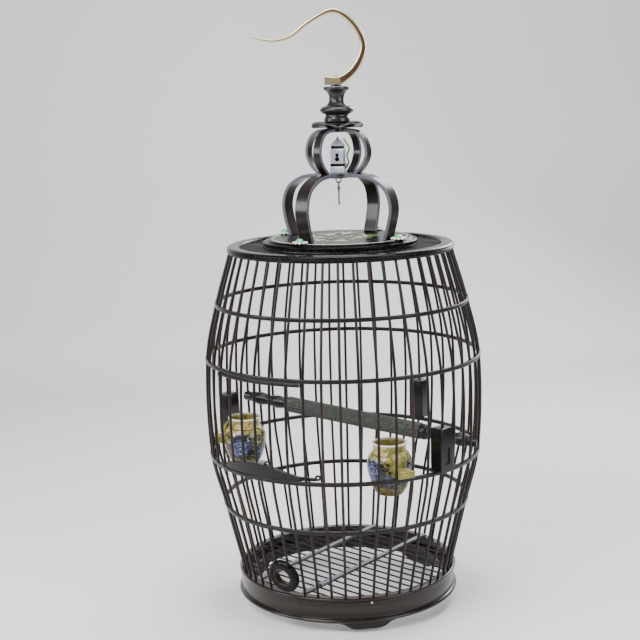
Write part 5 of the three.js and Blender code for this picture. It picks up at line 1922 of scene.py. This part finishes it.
@dataclass(frozen=True)
class FloorSize:
    """Sizes of the floor grille, in millimetres and degrees.

    Attributes:
        wire: Radius of a rod.
        pitch: Distance from rod to rod.
        radius: How far the rods reach.
        turn: Direction of the battens.
        batten: Width and height of a batten.
        offsets: Distance of each batten from the middle.
        rim: How far the battens reach at the back, over the base ring's top.
        back_radius: Radius at which the slope reaches the high end.
        back_offset: Distance of that place from the middle.
        low: Height of the rods at the front.
        high: Height at the back.
        tab: Length, width and height of the finger tab.
        tab_at: Its place along the battens and across.
    """

    wire: float = 1.1
    pitch: float = 13.5
    radius: float = 126.0
    turn: float = 47.0
    batten: tuple[float, float] = (6.4, 4.0)
    offsets: tuple[float, float] = (-25.0, 52.0)
    rim: float = 131.1
    back_radius: float = 128.0
    back_offset: float = 42.0
    low: float = 29.4
    high: float = 40.3
    tab: tuple[float, float, float] = (20.0, 9.0, 3.4)
    tab_at: tuple[float, float] = (-74.0, -29.5)


class Floor(Assembly):
    """The grille of fine rods under two battens, and the finger tab on one of them."""

    size = FloorSize()

    def build(self) -> None:
        """Makes the rods, the battens and the tab."""
        s = self.size
        back = math.sqrt(s.back_radius**2 - s.back_offset**2)
        slope = math.atan((s.high - s.low) / (back + s.radius))
        lift = shift(0, 0, s.low + s.radius * math.tan(slope))
        lay = lift @ spin(s.turn) @ spin(-math.degrees(slope), "Y")
        rods = Skin()
        count = int((s.radius - 2 * s.batten[0]) / s.pitch)
        for i in range(-count, count + 1):
            x = i * s.pitch
            half = math.sqrt(s.radius**2 - x * x)
            path = carried(np.array([(x, y) for y in np.linspace(-half, half, 9)]), 0.0, lay)
            rods.sweep(path, disc_section(s.wire, 10), UP, BARREL.tone(i + 70))
        rods.build("grille_rods", self.palette.grille, "grille_wood", "floor_grille")
        battens = Skin()
        for i, offset in enumerate(s.offsets):
            far, near = (math.sqrt(radius**2 - offset**2) for radius in (s.rim, s.radius))
            place = lay @ shift((far - near) / 2, offset, 0)
            battens.block((far + near, *s.batten), 0.9, place, 0.3 + 0.4 * i)
        battens.build("grille_battens", self.palette.batten, "grille_wood")
        tab = Skin().block(s.tab, 1.2, lay @ shift(*s.tab_at, s.batten[1]), 0.3)
        tab.build("finger_tab", self.palette.batten, "dark_wood", "floor_tab")


@dataclass(frozen=True)
class CupSize:
    """Sizes of a cup, in millimetres."""

    radius: float = CUP_RADIUS
    height: float = CUP_HEIGHT
    wall: float = 3.0
    mouth: float = 20.8
    foot: float = 164.82
    reach: float = 130.04
    ear_low: float = 193.32
    ear_height: float = 9.0
    ear_neck: float = 16.8
    ear_width: float = 21.2
    flange_in: float = 172.2
    flange: float = 2.9
    pad: float = 8.3
    panel: float = 11.5


class Cup(Assembly):
    """A glazed jar with a square ear that passes between two bars and hooks over a hoop."""

    size = CupSize()

    def __init__(self, palette: Palette, body: Body, gap: float, glaze: bpy.types.Material) -> None:
        """Keeps what sets this cup apart.

        Args:
            palette: The finishes.
            body: The CAD body that it rides on.
            gap: The gap between bars that it hangs in, as a bar's number and a half.
            glaze: Its own finish.
        """
        super().__init__(palette)
        self.body = body
        self.angle = BARREL.azimuth(gap)
        self.glaze = glaze

    def build(self) -> None:
        """Makes the jar and the ear."""
        s = self.size
        low, h, r, m, lip = s.foot, s.height, s.radius, s.mouth, s.mouth - s.wall
        belly = [
            (0.62, 0.035, 0.8), (0.75, 0.13, 3), (0.895, 0.3, 4), (0.975, 0.44, 4), (1, 0.57, 3),
            (0.97, 0.67, 2.4), (0.87, 0.765, 2.4),
        ]
        mouth = [
            (m - 1.4, 0.84, 1.6), (m - 1.2, 0.9, 1), (m - 0.7, 0.95, 0.8), (m, 0.975, 0.8),
            (m - 0.5, 1, 0.8), (lip + 0.2, 0.995, 0.9), (lip - 0.4, 0.96, 1), (lip - 1.4, 0.84, 1.6),
            (r * 0.87 - s.wall, 0.76, 2.4), (r - s.wall, 0.57, 3), (r * 0.895 - s.wall, 0.31, 4),
            (r * 0.62, 0.13, 4),
        ]
        outline = [
            (0, low + 1.2), (r * 0.46, low + 1.2, 0.6), (r * 0.5, low + 0.1, 0.4), (r * 0.57, low, 0.8),
            *((r * out, low + h * up, edge) for out, up, edge in belly),
            *((out, low + h * up, edge) for out, up, edge in mouth),
            (r * 0.4, low + 5, 3), (0, low + 4.4),
        ]
        shape = rounded(outline, 0.8, False)
        centre = around(s.reach, self.angle, 0)
        name = self.body.value
        jar = Skin().turned(shape, 112, centre)
        made = jar.build(f"{name}_jar", self.glaze, "ceramic", name, body=self.body, crease=60)
        self.mark(made, centre, int(np.argmax(shape[:, 1])), len(shape))
        start, end = s.reach + r - s.wall, s.flange_in + s.flange
        lay = spin(self.angle)
        ear = Skin()
        neck = shift((start + end) / 2 - 0.2, 0, s.ear_low)
        ear.block((end - start - 0.6, s.ear_neck, s.ear_height), 1.1, lay @ neck)
        flange = shift(s.flange_in + s.flange / 2, 0, s.ear_low)
        ear.block((s.flange, s.ear_width, s.ear_height), 0.9, lay @ flange)
        self.add_pad(ear, lay)
        made = ear.build(f"{name}_ear", self.glaze, "ceramic", body=self.body)
        self.mark(made, centre, 0, 0)

    def add_pad(self, skin: Skin, lay: Matrix) -> None:
        """Adds the flat upright pad between the ear and the neck, which stays outside the hollow.

        Args:
            skin: What it is added to.
            lay: The turn that carries it round to the cup.
        """
        s = self.size
        rows = []
        for share, out in ((0.455, -0.7), (0.465, -0.1), (0.6, 0), (0.74, -0.1), (0.82, -0.9), (0.86, -2.6)):
            inner = s.reach + min(s.radius - s.wall + 1.2, s.mouth + (0.86 - share) * 22)
            outer = s.reach + s.radius + out
            corners = [(inner, -s.pad, 0.2), (outer, -s.pad, 1.6), (outer, s.pad, 1.6), (inner, s.pad, 0.2)]
            rows.append(carried(rounded(corners, 0.6, True), s.foot + s.height * share, lay))
        skin.loft(np.array(rows))

    def mark(self, made: bpy.types.Object, centre: Array, split: int, rows: int) -> None:
        """Stores on each vertex what the glaze needs.

        Its share round, its share of the height, whether it is inside, and whether it is on the flat panel.

        Args:
            made: The object.
            centre: The jar's middle.
            split: Row of the outline that the inside starts at.
            rows: How many rows the outline has, or 0 for a piece with no inside.
        """
        s = self.size
        place = np.array([v.co for v in made.data.vertices]) / MM
        off = place[:, :2] - centre[:2]
        turn = (np.arctan2(off[:, 1], off[:, 0]) / (2 * math.pi)) % 1.0
        high = (place[:, 2] - s.foot) / s.height
        inner, panel = np.zeros(len(place)), np.ones(len(place))
        if rows:
            inner = (np.arange(len(place)) // (len(place) // rows) > split).astype(float)
            heading = around(1, self.angle, 0)[:2]
            side = np.abs(off[:, 0] * heading[1] - off[:, 1] * heading[0])
            panel = np.clip((s.panel - side) / 2, 0, 1) * (off @ heading > 0) * (high > 0.4)
        for title, values in (("turn", turn), ("high", high), ("inner", inner), ("panel", panel)):
            attribute = made.data.attributes.new(title, "FLOAT", "POINT")
            attribute.data.foreach_set("value", values.astype(np.float32))


# Stage


@dataclass(frozen=True)
class Light:
    """A square soft light: places in millimetres, power in watts."""

    name: str
    place: tuple[float, float, float]
    aim: float
    size: float
    power: float
    tint: tuple[float, float, float] = (1.0, 1.0, 1.0)

    def build(self) -> None:
        """Makes the light and turns it to a point on the cage's axis."""
        lamp = bpy.data.lights.new(self.name, "AREA")
        lamp.energy, lamp.size, lamp.color = self.power, self.size * MM, self.tint
        made = link(self.name, lamp)
        made.location = Vector(self.place) * MM
        aim = Vector((0, 0, self.aim)) - Vector(self.place)
        made.rotation_euler = aim.to_track_quat("-Z", "Y").to_euler()


@dataclass(frozen=True)
class View:
    """The photo's camera: place in millimetres, angles in degrees, lens in millimetres."""

    place: tuple[float, float, float] = (-27.4, -1604.8, 632.0)
    down: float = 9.82
    roll: float = -1.52
    lens: float = 73.05


class Stage:
    """Floor, backdrop, lights and camera."""

    view = View()
    lights = (
        Light("key", (-900, -1100, 1500), 330, 900, 42.0, (1.0, 0.98, 0.95)),
        Light("side", (-1420, -480, 820), 450, 520, 15.0, (0.9, 0.94, 1.0)),
        Light("fill", (1100, -900, 800), 330, 800, 16.0, (0.93, 0.96, 1.0)),
        Light("top", (100, 100, 1700), 300, 900, 24.0),
        Light("rim", (700, 1100, 1000), 400, 700, 16.0),
    )

    def build(self) -> None:
        """Makes the whole set."""
        self.build_sweep()
        for light in self.lights:
            light.build()
        world = bpy.data.worlds.new("studio")
        world.use_nodes = True
        back = world.node_tree.nodes["Background"]
        back.inputs["Color"].default_value = (0.86, 0.88, 0.9, 1)
        back.inputs["Strength"].default_value = 0.3
        bpy.context.scene.world = world
        self.build_camera()

    def build_sweep(self) -> None:
        """Makes a pale floor that curves up into the backdrop."""
        half = 3200.0
        path = [(-2600, 0), (900, 0), (1300, 60), (1560, 320), (1620, 700), (1620, 2600)]
        curve = smooth_path(path, 60)
        points = [(x * MM, y * MM, z * MM) for y, z in curve for x in (-half, half)]
        faces = [(2 * i, 2 * i + 1, 2 * i + 3, 2 * i + 2) for i in range(len(curve) - 1)]
        mesh = bpy.data.meshes.new("sweep")
        mesh.from_pydata(points, [], faces)
        mesh.shade_smooth()
        mesh.materials.append(Paint("pale floor").finish(Base_Color=(0.72, 0.72, 0.71, 1), Roughness=0.8))
        sweep = link("sweep", mesh)

    def build_camera(self) -> None:
        """Sets the camera where the photo's was."""
        v = self.view
        data = bpy.data.cameras.new("photo view")
        data.lens, data.sensor_width, data.dof.use_dof = v.lens, 36.0, False
        data.clip_start, data.clip_end = 0.05, 20.0
        made = link("photo view", data)
        made.matrix_world = shift(*(Vector(v.place) * MM)) @ spin(90 - v.down, "X") @ spin(v.roll)
        bpy.context.scene.camera = made


def main() -> None:
    """Builds every assembly and the set."""
    logging.basicConfig(level=logging.INFO, format="%(name)s: %(message)s")
    palette = Palette()
    kinds: tuple[type[Assembly], ...] = (Wall, Base, Top, Crown, Finial, Door, Fittings, Floor)
    assemblies = [kind(palette) for kind in kinds]
    assemblies.append(Cup(palette, Body.CUP_RIGHT, 40.5, palette.glaze_right))
    assemblies.append(Cup(palette, Body.CUP_LEFT, 23.5, palette.glaze_left))
    for assembly in assemblies:
        log.info("building %s", type(assembly).__name__)
        assembly.build()
    Stage().build()


if __name__ == "__main__":
    main()
